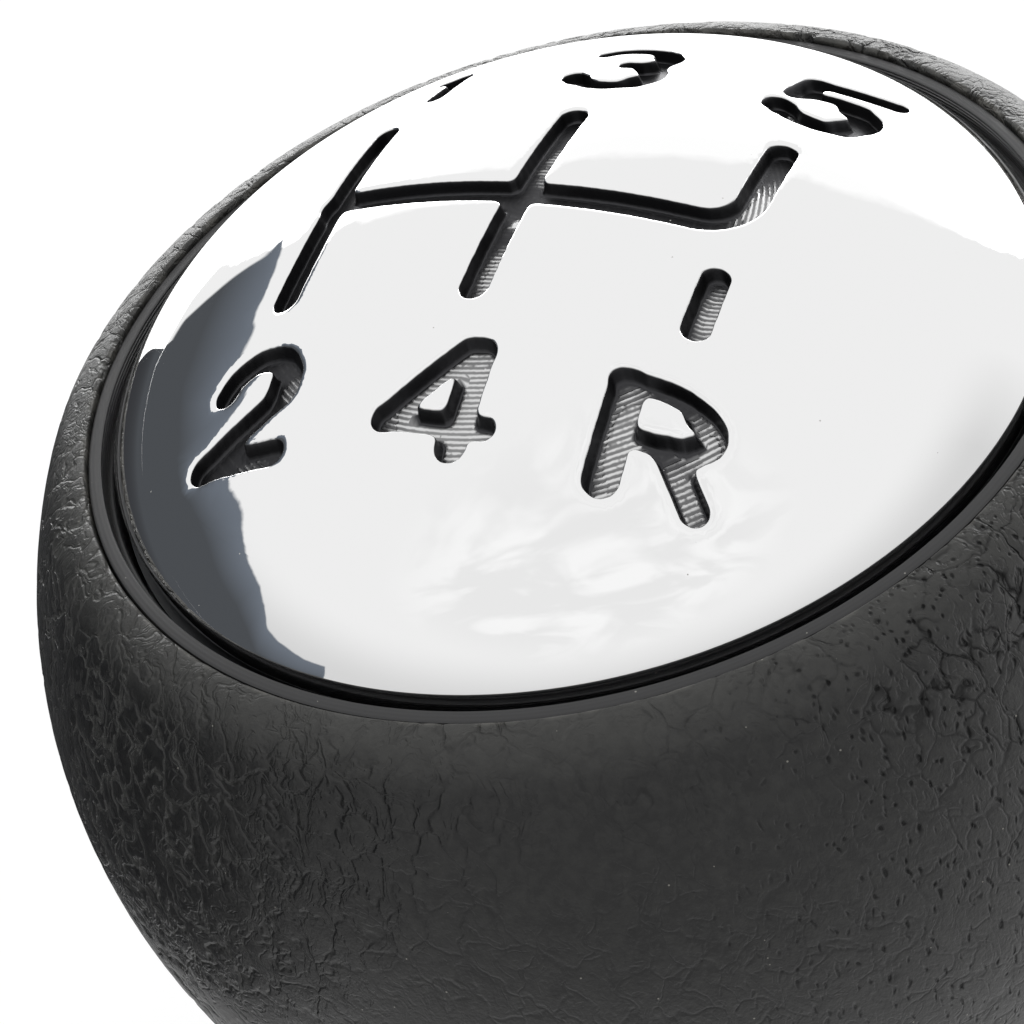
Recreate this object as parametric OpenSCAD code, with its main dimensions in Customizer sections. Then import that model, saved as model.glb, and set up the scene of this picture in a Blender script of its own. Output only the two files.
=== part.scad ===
// Ball shaped gear shift knob, 50 mm across, with a domed gate plate on top.
// The base face lies on z = 0 and the lever axis is +Z.

/* [Grip] */
// Diameter of the grip ball
ball_d = 50; // [46:0.5:56]
// Wall of the moulded grip skin
grip_wall = 2.2; // [1.8:0.1:2.8]
// Radius of the rounded lip round the top opening
lip_round = 2.7; // [1.8:0.1:3]
// Radius of the small edge where the lip turns in beside the trim ring
lip_edge = 0.15; // [0.1:0.05:0.5]
// How far the lip's crest lies inside the turned-in edge
lip_inset = 0.29; // [0.1:0.01:0.4]
// Height of the lip's crest above the trim ring's top face
lip_rise = 0.22; // [0:0.02:0.5]
// Wall of the core's neck round the thread insert
neck_wall = 2.8; // [2:0.1:4]
// Height of the straight neck between the collar and the blend
neck_h = 1.8; // [0.5:0.1:6]
// Radius of the hollow blend from the ball to the neck
neck_blend = 3; // [1.5:0.25:4]

/* [Trim ring] */
// Height of the ball's crest that is cut away, down to the trim ring's top face
crest_cut = 10.9; // [9:0.1:13]
// Visible width of the trim ring's top face
ring_land = 0.55; // [0.4:0.05:0.9]
// Depth of the step inside the bore
ring_step_z = 0.8; // [0.5:0.1:1.2]
// Width of the step inside the bore
ring_step_w = 0.2; // [0.1:0.05:0.4]
// Thickness of the flange that the carrier clamps
ring_flange_t = 0.8; // [0.6:0.1:1.2]
// Width of the flange, from the ring's outer wall inwards
ring_flange_w = 2.35; // [1.8:0.05:2.8]
// Chamfer on the ring's outer top edge
ring_chamfer = 0.12; // [0.05:0.01:0.25]
// Seam between the trim ring and the grip lip
ring_seam = 0.08; // [0.04:0.01:0.2]

/* [Shift plate] */
// Radial gap between the plate's edge and the ring's bore
plate_gap = 0.55; // [0.4:0.05:0.9]
// Radius of the plate's domed top
dome_r = 30; // [27:0.5:36]
// Radius of the shoulder between the dome and the edge
shoulder_r = 9; // [7:0.5:12]
// Slope of the shoulder where it meets the edge, as its normal's angle above the level
edge_slope = 33.6; // [30:0.2:40]
// Radius of the small edge round the shoulder
plate_edge_r = 0.2; // [0.1:0.05:0.4]
// Height above the trim ring's top face at which the small edge begins
edge_rise = 0.05; // [0:0.05:0.3]
// Wall of the dome
plate_wall = 2; // [1.6:0.1:2.4]
// Wall of the skirt
skirt_wall = 1.6; // [1.2:0.1:2]
// Depth of the skirt's foot below the trim ring's top face
skirt_drop = 1; // [0.7:0.1:1.3]
// Radius of a peg's pin
peg_r = 1.25; // [1:0.05:1.6]
// Radius of a peg's shoulder
peg_shoulder_r = 2.4; // [1.9:0.1:2.8]
// Length of pin that stands out under the carrier
peg_stand_out = 1; // [0.4:0.1:2]
// Radial clearance of a pin in its hole
peg_fit = 0.15; // [0.05:0.05:0.3]

/* [Gate pattern] */
// Distance between neighbouring gate slots
gate_pitch = 8.1; // [7:0.1:9]
// Reach of a slot's centre line from the cross bar
gate_reach = 4.85; // [4:0.05:5.5]
// Distance of the cross bar behind the plate's centre
gate_shift = 0.2; // [0:0.05:1]
// Width of a groove
groove_w = 1.16; // [0.8:0.02:1.6]
// Depth of a groove below the dome
groove_depth = 0.6; // [0.3:0.05:0.9]
// Radius of the bend from the cross bar into the fifth slot
elbow_r = 1.6; // [1:0.1:2.4]
// Gap between the cross bar and the reverse slot
reverse_gap = 1.3; // [0.8:0.1:2]

/* [Plate tape] */
// Thickness of the foam tape
tape_t = 0.6; // [0.4:0.1:1]
// Width of the foam tape ring
tape_w = 2.2; // [1.8:0.1:2.8]
// Distance of the tape's outer edge inside the plate's edge
tape_inset = 0.4; // [0.2:0.05:0.8]

/* [Plate carrier] */
// Thickness of the carrier disc
carrier_t = 2; // [1.6:0.1:2.6]
// Radial clearance of the carrier in the trim ring
carrier_fit = 0.15; // [0.05:0.05:0.3]
// Length of the spigot under the carrier
spigot_h = 2.5; // [1.5:0.1:4]
// Wall of the spigot
spigot_wall = 1.6; // [1:0.1:2]
// Radial clearance of the spigot in the core's mouth
spigot_fit = 0.2; // [0.1:0.05:0.4]

/* [Carrier screws] */
// Radius of a screw's head
screw_head_r = 2.7; // [2.2:0.1:3]
// Height of a screw's head
screw_head_h = 1.8; // [1.4:0.1:2.2]
// Radius of a screw's core
screw_r = 1.2; // [1:0.05:1.5]
// Share of the height from the hub's top up to a screw's head that the screw takes
screw_share = 0.6; // [0.5:0.02:0.75]
// Radial clearance of a screw in the carrier
screw_fit = 0.5; // [0.3:0.05:0.8]
// Radial clearance of a screw's core in its post
pilot_fit = 0.02; // [0.01:0.01:0.05]
// Spare depth of a pilot hole
pilot_spare = 1.5; // [0.5:0.5:3]
// Radius across the corners of the socket in a screw's head
socket_r = 1.4; // [1:0.1:1.6]
// Depth of the socket
socket_h = 1.1; // [0.8:0.1:1.3]

/* [Core] */
// Width of the core's seat that stands proud of the trim ring's flange inwards
seat_w = 0.9; // [0.5:0.1:1.5]
// Least wall between the pocket's floor and the grip skin
core_wall = 2.6; // [2:0.1:3.4]
// Wall of the hub round the insert's hexagon
hub_wall = 1.2; // [1:0.1:2]
// Cover of plastic over the insert
hub_cover = 2; // [1.5:0.1:3]
// Radius of a screw post
post_r = 3.2; // [2.8:0.1:3.6]
// Gap between a screw post and the carrier's spigot
post_gap = 0.8; // [0.3:0.1:1.5]
// Thickness of the ribs
rib_t = 1.8; // [1.2:0.1:2.4]
// Distance below the carrier at which the rib behind each post ends
post_rib_drop = 4.8; // [3.5:0.1:10]

/* [Thread insert] */
// Radius of the insert's bore, the thread's inner radius
thread_r = 5.35; // [5.2:0.05:5.6]
// Length of the bore
thread_len = 20; // [16:0.5:22]
// Depth of the lead-in chamfer
lead_in = 0.8; // [0.4:0.1:1.2]
// Wall of the insert round its bore
insert_wall = 2.65; // [2:0.05:3.5]
// Cover of metal over the bore
insert_cover = 2; // [1.5:0.1:3]
// Width of a retaining groove
insert_groove_w = 1.4; // [1:0.1:2]
// Depth of a retaining groove
insert_groove_d = 0.6; // [0.3:0.1:0.9]
// How far the corners of its hexagon stand out, which stop it turning
hex_stand = 1.4; // [1.2:0.1:2]
// Height of the hexagon
hex_h = 5; // [3:0.5:6]

/* [Neck collar] */
// How far the collar stands out past the neck
collar_lip = 0.4; // [0:0.1:2]
// Height of the collar
collar_h = 5.2; // [4.6:0.1:6]
// Thickness of the collar's floor
collar_floor = 1.6; // [1.2:0.1:2.2]
// Gap between the insert's lead-in and the lever's way through the collar
lever_gap = 0.85; // [0.3:0.05:1.5]
// Rounding of the collar's edges
collar_round = 0.6; // [0.3:0.1:1]
// Radial clearance of the collar on the core
collar_fit = 0.05; // [0.02:0.01:0.1]
// Height of the snap bead that holds the collar
bead_h = 0.35; // [0.2:0.05:0.5]
// Width of the snap bead's crown
bead_w = 0.5; // [0.3:0.1:0.8]
// Distance of the bead's crown above the collar's floor
bead_rise = 1.4; // [1.2:0.1:1.8]

/* [Hidden] */
$fn = 96;
arc_steps = 28;
edge_steps = 8;
overcut = 1;
root = 0.5;
fixings = 3;
ribs = 6;

// The insert sets the neck, and the neck sets the collar.
insert_r = thread_r + insert_wall;
hex_r = insert_r + hex_stand;
hub_r = hex_r + hub_wall;
core_neck_r = insert_r + neck_wall;
neck_r = core_neck_r + grip_wall;
collar_r = neck_r + collar_lip;
lead_in_r = thread_r + lead_in;
lever_way_r = lead_in_r + lever_gap;
insert_z = collar_floor;
insert_top_z = insert_z + thread_len + insert_cover;
hub_top_z = insert_top_z + hub_cover;
hex_z = insert_z + (thread_len + insert_cover - hex_h) / 2;

// The blend circle touches the neck's wall and the ball from outside.
ball_r = ball_d / 2;
blend_x = neck_r + neck_blend;
blend_z = collar_h + neck_h;
ball_z = blend_z + sqrt(pow(ball_r + neck_blend, 2) - pow(blend_x, 2));
blend_a = atan2(ball_z - blend_z, blend_x);

// The lip circle touches the ball from inside and rises a little above the ring's top face.
rim_z = ball_z + ball_r - crest_cut;
lip_z = rim_z + lip_rise - lip_round;
lip_x = sqrt(pow(ball_r - lip_round, 2) - pow(lip_z - ball_z, 2));
lip_a = atan2(lip_z - ball_z, lip_x);
lip_r = lip_x + lip_inset;
lip_corner_x = lip_r + lip_edge;
lip_end_a = acos((lip_corner_x - lip_x) / lip_round);
lip_corner_z = lip_z + lip_round * sin(lip_end_a) - lip_edge;

// The lip's opening sets the trim ring, and the ring's bore sets the plate.
ring_r = lip_r - ring_seam;
ring_bore_r = ring_r - ring_land;
ring_low_bore_r = ring_bore_r - ring_step_w;
plate_r = ring_bore_r - plate_gap;

// The small edge touches the shoulder from inside, and the shoulder touches the dome.
edge_x = plate_r - plate_edge_r;
edge_z = rim_z + edge_rise;
shoulder_x = edge_x - (shoulder_r - plate_edge_r) * cos(edge_slope);
shoulder_z = edge_z - (shoulder_r - plate_edge_r) * sin(edge_slope);
dome_z = shoulder_z - sqrt(pow(dome_r - shoulder_r, 2) - pow(shoulder_x, 2));
shoulder_a = atan2(shoulder_z - dome_z, shoulder_x);
dome_top_z = dome_z + dome_r;
skirt_z = rim_z - skirt_drop;
skirt_r = plate_r - skirt_wall;
hollow_r = dome_r - plate_wall;
hollow_a = acos(skirt_r / hollow_r);
tape_r = plate_r - tape_inset;

// Plate, tape, carrier, ring flange and core are stacked downwards from the skirt's foot.
shelf_z = skirt_z - tape_t;
carrier_z = shelf_z - carrier_t;
seat_z = carrier_z - ring_flange_t;
screw_len = screw_share * (shelf_z - hub_top_z);
carrier_r = ring_low_bore_r - carrier_fit;
mouth_r = ring_r - ring_flange_w - seat_w;
spigot_r = mouth_r - spigot_fit;
fixing_r = spigot_r - spigot_wall - post_gap - post_r;
fixing_step = 360 / fixings;
screw_start_a = fixing_step / 4;
peg_start_a = screw_start_a - fixing_step / 2;

core_r = ball_r - grip_wall;
core_seat_a = asin((seat_z - ball_z) / core_r);
pocket_z = ball_z - sqrt(pow(core_r - core_wall, 2) - pow(mouth_r, 2));

function arc(x, z, r, a0, a1, n) =
    [for (i = [0:n]) [x + r * cos(a0 + (a1 - a0) * i / n), z + r * sin(a0 + (a1 - a0) * i / n)]];

// Outline of the neck, the blend and the ball, moved inwards by inset.
function body_arc(inset, top_a) = concat(
    arc(blend_x, blend_z, neck_blend + inset, 180, 180 - blend_a, edge_steps),
    arc(0, ball_z, ball_r - inset, -blend_a, top_a, arc_steps)
);

// Snap bead round the core's neck, grown by grow for the groove that takes it.
function bead(grow) = let (z = collar_floor + bead_rise, r = core_neck_r + grow) [
    [r, z - bead_w / 2 - bead_h - grow],
    [r + bead_h, z - bead_w / 2 - grow],
    [r + bead_h, z + bead_w / 2 + grow],
    [r, z + bead_w / 2 + bead_h + grow]
];

function reversed(list) = [for (i = [len(list) - 1:-1:0]) list[i]];

module round_the_axis(start_a) {
    for (i = [0:fixings - 1])
        rotate(start_a + i * fixing_step)
            translate([fixing_r, 0, 0])
                children();
}

// A groove's outline from one point to another along y, with round ends.
module slot_outline(x, y0, y1) {
    translate([x - groove_w / 2, y0])
        square([groove_w, y1 - y0]);
    translate([x, y0])
        circle(d = groove_w);
    translate([x, y1])
        circle(d = groove_w);
}

// The bend from the cross bar up into the fifth slot.
module elbow_outline() {
    translate([gate_pitch - elbow_r, elbow_r])
        intersection() {
            difference() {
                circle(r = elbow_r + groove_w / 2);
                circle(r = elbow_r - groove_w / 2);
            }
            translate([0, -2 * elbow_r])
                square(2 * elbow_r);
        }
}

// Gate pattern of a five speed box with reverse at the lower right.
module gate_outline() {
    translate([0, -gate_shift]) {
        slot_outline(-gate_pitch, -gate_reach, gate_reach);
        slot_outline(0, -gate_reach, gate_reach);
        slot_outline(gate_pitch, elbow_r, gate_reach);
        slot_outline(gate_pitch, -gate_reach, -groove_w - reverse_gap);
        translate([-gate_pitch, -groove_w / 2])
            square([2 * gate_pitch - elbow_r, groove_w]);
        elbow_outline();
    }
}

// Solid dome of the given radius about the plate's centre of curvature.
module dome_solid(r) {
    rotate_extrude()
        polygon(concat([[0, dome_z]], [[r, dome_z]], arc(0, dome_z, r, 0, 90, 2 * arc_steps)));
}

module plate_shell() {
    rotate_extrude()
        polygon(concat(
            [[skirt_r, skirt_z], [plate_r, skirt_z]],
            arc(edge_x, edge_z, plate_edge_r, 0, edge_slope, edge_steps),
            arc(shoulder_x, shoulder_z, shoulder_r, edge_slope, shoulder_a, edge_steps),
            arc(0, dome_z, dome_r, shoulder_a, 90, arc_steps),
            arc(0, dome_z, hollow_r, 90, hollow_a, arc_steps)
        ));
}

module plate_pegs() {
    intersection() {
        round_the_axis(peg_start_a)
            union() {
                translate([0, 0, shelf_z])
                    cylinder(r = peg_shoulder_r, h = dome_top_z - shelf_z);
                translate([0, 0, carrier_z - peg_stand_out])
                    cylinder(r = peg_r, h = carrier_t + peg_stand_out + overcut);
            }
        dome_solid(dome_r - plate_wall / 2);
    }
}

module shift_plate() {
    color("#e4e6e8")
        difference() {
            union() {
                plate_shell();
                plate_pegs();
            }
            difference() {
                translate([0, 0, rim_z])
                    linear_extrude(height = dome_top_z - rim_z + overcut)
                        gate_outline();
                dome_solid(dome_r - groove_depth);
            }
        }
}

module plate_tape() {
    color("#3a3c40")
        rotate_extrude()
            translate([tape_r - tape_w, shelf_z])
                square([tape_w, tape_t]);
}

module trim_ring() {
    color("#1d1e20")
        rotate_extrude()
            polygon([
                [ring_bore_r, rim_z],
                [ring_r - ring_chamfer, rim_z],
                [ring_r, rim_z - ring_chamfer],
                [ring_r, seat_z],
                [ring_r - ring_flange_w, seat_z],
                [ring_r - ring_flange_w, carrier_z],
                [ring_low_bore_r, carrier_z],
                [ring_low_bore_r, rim_z - ring_step_z],
                [ring_bore_r, rim_z - ring_step_z]
            ]);
}

module plate_carrier() {
    color("#26282b")
        difference() {
            union() {
                translate([0, 0, carrier_z])
                    cylinder(r = carrier_r, h = carrier_t);
                translate([0, 0, carrier_z - spigot_h])
                    difference() {
                        cylinder(r = spigot_r, h = spigot_h);
                        translate([0, 0, -overcut])
                            cylinder(r = spigot_r - spigot_wall, h = spigot_h + overcut);
                    }
            }
            round_the_axis(screw_start_a)
                translate([0, 0, carrier_z - overcut])
                    cylinder(r = screw_r + screw_fit, h = carrier_t + 2 * overcut);
            round_the_axis(peg_start_a)
                translate([0, 0, carrier_z - overcut])
                    cylinder(r = peg_r + peg_fit, h = carrier_t + 2 * overcut);
        }
}

module carrier_screw(place) {
    color("#8d9096")
        rotate(screw_start_a + (place - 1) * fixing_step)
            translate([fixing_r, 0, shelf_z])
                difference() {
                    union() {
                        cylinder(r = screw_head_r, h = screw_head_h);
                        translate([0, 0, -screw_len])
                            cylinder(r = screw_r, h = screw_len + screw_head_h / 2);
                    }
                    translate([0, 0, screw_head_h - socket_h])
                        cylinder(r = socket_r, h = socket_h + overcut, $fn = 6);
                }
}

module grip_skin() {
    color("#2b2c2e")
        rotate_extrude()
            polygon(concat(
                [[core_neck_r, collar_h], [neck_r, collar_h]],
                body_arc(0, lip_a),
                arc(lip_x, lip_z, lip_round, lip_a, lip_end_a, edge_steps),
                arc(lip_corner_x, lip_corner_z, lip_edge, 90, 180, edge_steps),
                [[lip_r, seat_z]],
                reversed(body_arc(grip_wall, core_seat_a))
            ));
}

// The insert's outside; foot lengthens it downwards for the seat that takes it.
module insert_form(foot = 0) {
    difference() {
        union() {
            translate([0, 0, insert_z - foot])
                cylinder(r = insert_r, h = thread_len + insert_cover + foot);
            translate([0, 0, hex_z])
                cylinder(r = hex_r, h = hex_h, $fn = 6);
        }
        for (z = [(insert_z + hex_z) / 2, (insert_top_z + hex_z + hex_h) / 2])
            translate([0, 0, z - insert_groove_w / 2])
                difference() {
                    cylinder(r = insert_r + overcut, h = insert_groove_w);
                    cylinder(r = insert_r - insert_groove_d, h = insert_groove_w);
                }
    }
}

module thread_insert() {
    color("#b9964a")
        difference() {
            insert_form();
            translate([0, 0, insert_z])
                cylinder(r = thread_r, h = thread_len);
            translate([0, 0, insert_z])
                cylinder(r1 = lead_in_r, r2 = thread_r, h = lead_in);
        }
}

module core_outline() {
    polygon(concat(
        [[0, collar_floor], [core_neck_r, collar_floor]],
        bead(0),
        body_arc(grip_wall, core_seat_a),
        [[0, seat_z]]
    ));
}

// A rib from the axis or a post into the pocket's wall, standing in the pocket's floor.
module core_rib(start_x, top_z) {
    translate([start_x, -rib_t / 2, pocket_z - root])
        cube([mouth_r + root - start_x, rib_t, top_z - pocket_z + root]);
}

// Hub, posts and ribs, rooted in the pocket's floor and wall.
module core_inside() {
    translate([0, 0, pocket_z - root])
        cylinder(r = hub_r, h = hub_top_z - pocket_z + root);
    round_the_axis(screw_start_a)
        translate([0, 0, pocket_z - root])
            cylinder(r = post_r, h = carrier_z - pocket_z + root);
    for (i = [0:ribs - 1])
        rotate(i * 360 / ribs)
            core_rib(0, hub_top_z);
    for (i = [0:fixings - 1])
        rotate(screw_start_a + i * fixing_step)
            core_rib(fixing_r, carrier_z - post_rib_drop);
}

module core_body() {
    color("#404246")
        difference() {
            union() {
                difference() {
                    rotate_extrude()
                        core_outline();
                    translate([0, 0, pocket_z])
                        cylinder(r = mouth_r, h = seat_z - pocket_z + overcut);
                }
                core_inside();
            }
            insert_form(overcut);
            round_the_axis(screw_start_a)
                translate([0, 0, shelf_z - screw_len - pilot_spare])
                    cylinder(r = screw_r + pilot_fit, h = screw_len + pilot_spare);
        }
}

module neck_collar() {
    color("#1d1e20")
        rotate_extrude()
            polygon(concat(
                [[lever_way_r, 0]],
                arc(collar_r - collar_round, collar_round, collar_round, -90, 0, edge_steps),
                arc(collar_r - collar_round, collar_h - collar_round, collar_round, 0, 90, edge_steps),
                [[core_neck_r + collar_fit, collar_h]],
                reversed(bead(collar_fit)),
                [[core_neck_r + collar_fit, collar_floor], [lever_way_r, collar_floor]]
            ));
}

shift_plate();
plate_tape();
trim_ring();
plate_carrier();
carrier_screw(1);  // carrier_screw_1
carrier_screw(2);  // carrier_screw_2
carrier_screw(3);  // carrier_screw_3
grip_skin();
core_body();
thread_insert();
neck_collar();
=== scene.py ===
"""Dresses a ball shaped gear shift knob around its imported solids.

The knob has a black grained grip, a satin black trim ring and a domed chrome plate with an
engraved gate pattern. Sizes in the classes are in millimetres, and meshes are made in metres.
"""

import logging
import math
from dataclasses import dataclass, field
from enum import Enum
from functools import cached_property
from typing import Optional, Union

import bpy
import numpy as np
from mathutils import Matrix, Vector
from mathutils.geometry import delaunay_2d_cdt


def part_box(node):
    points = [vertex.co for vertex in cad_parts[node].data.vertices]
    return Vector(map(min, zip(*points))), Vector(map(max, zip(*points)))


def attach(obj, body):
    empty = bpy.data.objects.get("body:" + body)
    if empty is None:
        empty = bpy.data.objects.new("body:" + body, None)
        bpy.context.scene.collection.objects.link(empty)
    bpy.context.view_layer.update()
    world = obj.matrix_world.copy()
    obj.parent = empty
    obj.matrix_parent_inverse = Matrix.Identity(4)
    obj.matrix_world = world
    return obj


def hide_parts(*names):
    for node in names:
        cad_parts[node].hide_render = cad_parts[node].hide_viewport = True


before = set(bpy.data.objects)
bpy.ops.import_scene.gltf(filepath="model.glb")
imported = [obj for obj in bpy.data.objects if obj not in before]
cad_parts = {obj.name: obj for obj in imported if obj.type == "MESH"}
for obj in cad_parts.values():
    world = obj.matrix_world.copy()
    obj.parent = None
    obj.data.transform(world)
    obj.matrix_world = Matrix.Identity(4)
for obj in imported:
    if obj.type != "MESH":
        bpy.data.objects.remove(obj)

LOG = logging.getLogger("knob")
MM = 0.001
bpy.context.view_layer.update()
Tree = bpy.types.NodeTree
Node = bpy.types.Node
Socket = bpy.types.NodeSocket
Setting = Union[float, str, bool, tuple, Socket]
Inputs = dict[Union[int, str], Setting]
Span = tuple[float, float]

# Radius at which a turned end closes, so that its faces keep four sides.
CLOSED_R = 0.02


# Small tools

def linear(colour: str, alpha: float = 1.0) -> tuple[float, float, float, float]:
    """Turns an sRGB hex colour such as "#1c1d1f" into linear RGBA.

    Args:
        colour: Hex colour with a leading hash.
        alpha: Fourth value of the result.

    Returns:
        Red, green, blue and alpha, linear.
    """
    parts = [int(colour[i:i + 2], 16) / 255 for i in (1, 3, 5)]
    red, green, blue = (p / 12.92 if p <= 0.04045 else ((p + 0.055) / 1.055) ** 2.4 for p in parts)
    return red, green, blue, alpha


def add_node(tree: Tree, kind: str, inputs: Optional[Inputs] = None, **settings: Setting) -> Node:
    """Adds a node with its settings, its input values and its links.

    Args:
        tree: Node tree that gets the node.
        kind: Blender's name of the node's type, such as Math for ShaderNodeMath. Where the
            node has an operation, a dot and that operation follow.
        inputs: Value or linked socket for each input, by name or number.
        **settings: Properties of the node itself.

    Returns:
        The new node.
    """
    kind, _, operation = kind.partition(".")
    node = tree.nodes.new(kind if "Node" in kind else f"ShaderNode{kind}")
    if operation:
        node.operation = operation
    for key, value in settings.items():
        setattr(node, key, value)
    for key, value in (inputs or {}).items():
        if isinstance(value, Socket):
            tree.links.new(value, node.inputs[key])
        else:
            node.inputs[key].default_value = value
    return node


def first(tree: Tree, kind: str, inputs: Optional[Inputs] = None, **settings: Setting) -> Socket:
    """Adds a node as add_node does, and returns its first output."""
    return add_node(tree, kind, inputs, **settings).outputs[0]


def ramp(value: Socket, start: Span, end: Span = (0.0, 1.0)) -> Inputs:
    """Inputs of a map range node, which takes a value from one span to another.

    Args:
        value: Value to map.
        start: Span that it comes from.
        end: Span that it goes to.

    Returns:
        The inputs by name.
    """
    names = ("From Min", "From Max", "To Min", "To Max")
    return {"Value": value, **dict(zip(names, (*start, *end)))}


def arc(x: float, z: float, radius: float, start: float, end: float, steps: int) -> np.ndarray:
    """Points on an arc in a profile.

    Args:
        x: Centre's distance from the axis.
        z: Centre's height.
        radius: Radius of the arc.
        start: First angle in degrees, from the outward direction upwards.
        end: Last angle in degrees.
        steps: Number of parts.

    Returns:
        Array of steps + 1 rows of distance from the axis and height.
    """
    angle = np.radians(np.linspace(start, end, steps + 1))
    return np.column_stack([x + radius * np.cos(angle), z + radius * np.sin(angle)])


def spaced(profile: np.ndarray, step: float) -> np.ndarray:
    """Points on an open profile at about one distance, its own corners left out.

    Args:
        profile: Rows of distance from the axis and height.
        step: Distance between points along the profile.

    Returns:
        The evenly spaced points.
    """
    length = np.r_[0, np.cumsum(np.linalg.norm(np.diff(profile, axis=0), axis=1))]
    at = np.linspace(0, length[-1], max(2, round(length[-1] / step) + 1))
    return np.column_stack([np.interp(at, length, profile[:, i]) for i in (0, 1)])


@dataclass
class MeshParts:
    """Vertices and faces of one piece, collected before the mesh is made."""

    points: list[np.ndarray] = field(default_factory=list)
    faces: list[tuple[int, ...]] = field(default_factory=list)
    count: int = 0

    def add_points(self, points: np.ndarray) -> int:
        """Adds points, and returns the number of the first."""
        first = self.count
        self.points.append(np.asarray(points, float))
        self.count += len(points)
        return first

    def add_turned(
        self,
        profile: np.ndarray,
        segments: int,
        closed: bool = True,
        centre: tuple[float, float] = (0.0, 0.0),
    ) -> int:
        """Turns a profile about an upright axis.

        Args:
            profile: Rows of distance from the axis and height, anticlockwise if closed.
            segments: Number of steps round the axis.
            closed: Whether the last point joins the first.
            centre: Place of the axis.

        Returns:
            Number of the first vertex.
        """
        angle = np.arange(segments) * (2 * math.pi / segments)
        rings = len(profile)
        grid = np.zeros((segments, rings, 3))
        grid[..., 0] = centre[0] + np.cos(angle)[:, None] * profile[:, 0]
        grid[..., 1] = centre[1] + np.sin(angle)[:, None] * profile[:, 0]
        grid[..., 2] = profile[:, 1]
        first = self.add_points(grid.reshape(-1, 3))
        for i in range(segments):
            here, there = first + i * rings, first + (i + 1) % segments * rings
            for j in range(rings if closed else rings - 1):
                k = (j + 1) % rings
                self.faces.append((here + j, there + j, there + k, here + k))
        return first

    def vertices(self) -> np.ndarray:
        """All points so far, in millimetres."""
        return np.vstack(self.points)

    def make(self, name: str, sharp_above: float = 38.0) -> bpy.types.Object:
        """Makes the object, shaded smooth except at sharp edges.

        Args:
            name: Name of the object and its mesh.
            sharp_above: Angle in degrees above which an edge is sharp.

        Returns:
            The object, linked to the scene.
        """
        mesh = bpy.data.meshes.new(name)
        mesh.from_pydata((self.vertices() * MM).tolist(), [], self.faces)
        mesh.polygons.foreach_set("use_smooth", [True] * len(mesh.polygons))
        mesh.set_sharp_from_angle(angle=math.radians(sharp_above))
        mesh.update()
        piece = bpy.data.objects.new(name, mesh)
        bpy.context.scene.collection.objects.link(piece)
        return piece


def seat_piece(piece: bpy.types.Object, node: str, finish: "Finish") -> None:
    """Puts a finished piece in the place of a solid.

    Args:
        piece: The piece's object.
        node: Solid that the piece stands for.
        finish: Finish of the whole piece.
    """
    piece.data.materials.append(finish.material())
    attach(piece, "root")
    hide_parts(node)
    LOG.info("%s: %d faces, stands for %s", piece.name, len(piece.data.polygons), node)


# Shared sizes

@dataclass(frozen=True)
class KnobSizes:
    """Heights and radii that several pieces share, in millimetres, as the solids have them."""

    ball_r: float = 25.0
    neck_r: float = 13.0
    neck_blend: float = 3.0
    collar_h: float = 5.2
    neck_h: float = 1.8
    core_neck_r: float = 10.8
    grip_wall: float = 2.2
    lip_round: float = 2.7
    lip_edge: float = 0.15
    lip_inset: float = 0.29
    lip_rise: float = 0.22
    rim_z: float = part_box("trim_ring")[1].z / MM
    seat_z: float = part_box("trim_ring")[0].z / MM
    ring_r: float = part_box("trim_ring")[1].x / MM
    plate_r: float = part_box("shift_plate")[1].x / MM
    plate_top_z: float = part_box("shift_plate")[1].z / MM
    flange_t: float = 0.8
    carrier_t: float = 2.0
    fixing_r: float = 10.19

    @property
    def blend_z(self) -> float:
        """Height at which the hollow blend starts."""
        return self.collar_h + self.neck_h

    @property
    def ball_z(self) -> float:
        """Height of the ball's centre."""
        reach = (self.ball_r + self.neck_blend) ** 2 - (self.neck_r + self.neck_blend) ** 2
        return self.blend_z + math.sqrt(reach)

    @property
    def carrier_z(self) -> float:
        """Height of the carrier's underside."""
        return self.seat_z + self.flange_t

    @property
    def shelf_z(self) -> float:
        """Height of the carrier's top."""
        return self.carrier_z + self.carrier_t


KNOB = KnobSizes()


# Finishes

# Refraction of common moulded plastics, such as ABS and nylon.
PLASTIC_IOR = 1.53
# Scale at which Blender's wave texture has one ring a unit.
WAVE_TURN = math.pi / 10


@dataclass(frozen=True)
class Finish:
    """A finish with one principled shader."""

    name: str

    def material(self) -> bpy.types.Material:
        """Makes the material, or returns the one that is made."""
        made = bpy.data.materials.get(self.name)
        if made:
            return made
        made = bpy.data.materials.new(self.name)
        made.use_nodes = True
        tree = made.node_tree
        tree.nodes.clear()
        shader = add_node(tree, "BsdfPrincipled")
        add_node(tree, "OutputMaterial", {"Surface": shader.outputs[0]})
        place = add_node(tree, "TexCoord").outputs["Object"]
        millimetres = first(tree, "VectorMath.SCALE", {0: place, "Scale": 1 / MM})
        self.dress(tree, shader, millimetres)
        return made

    def dress(self, tree: Tree, shader: Node, place: Socket) -> None:
        """Sets the shader and adds its pattern.

        Args:
            tree: Tree of the material.
            shader: Principled shader to set.
            place: Place on the object in millimetres.
        """
        raise NotImplementedError


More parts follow.
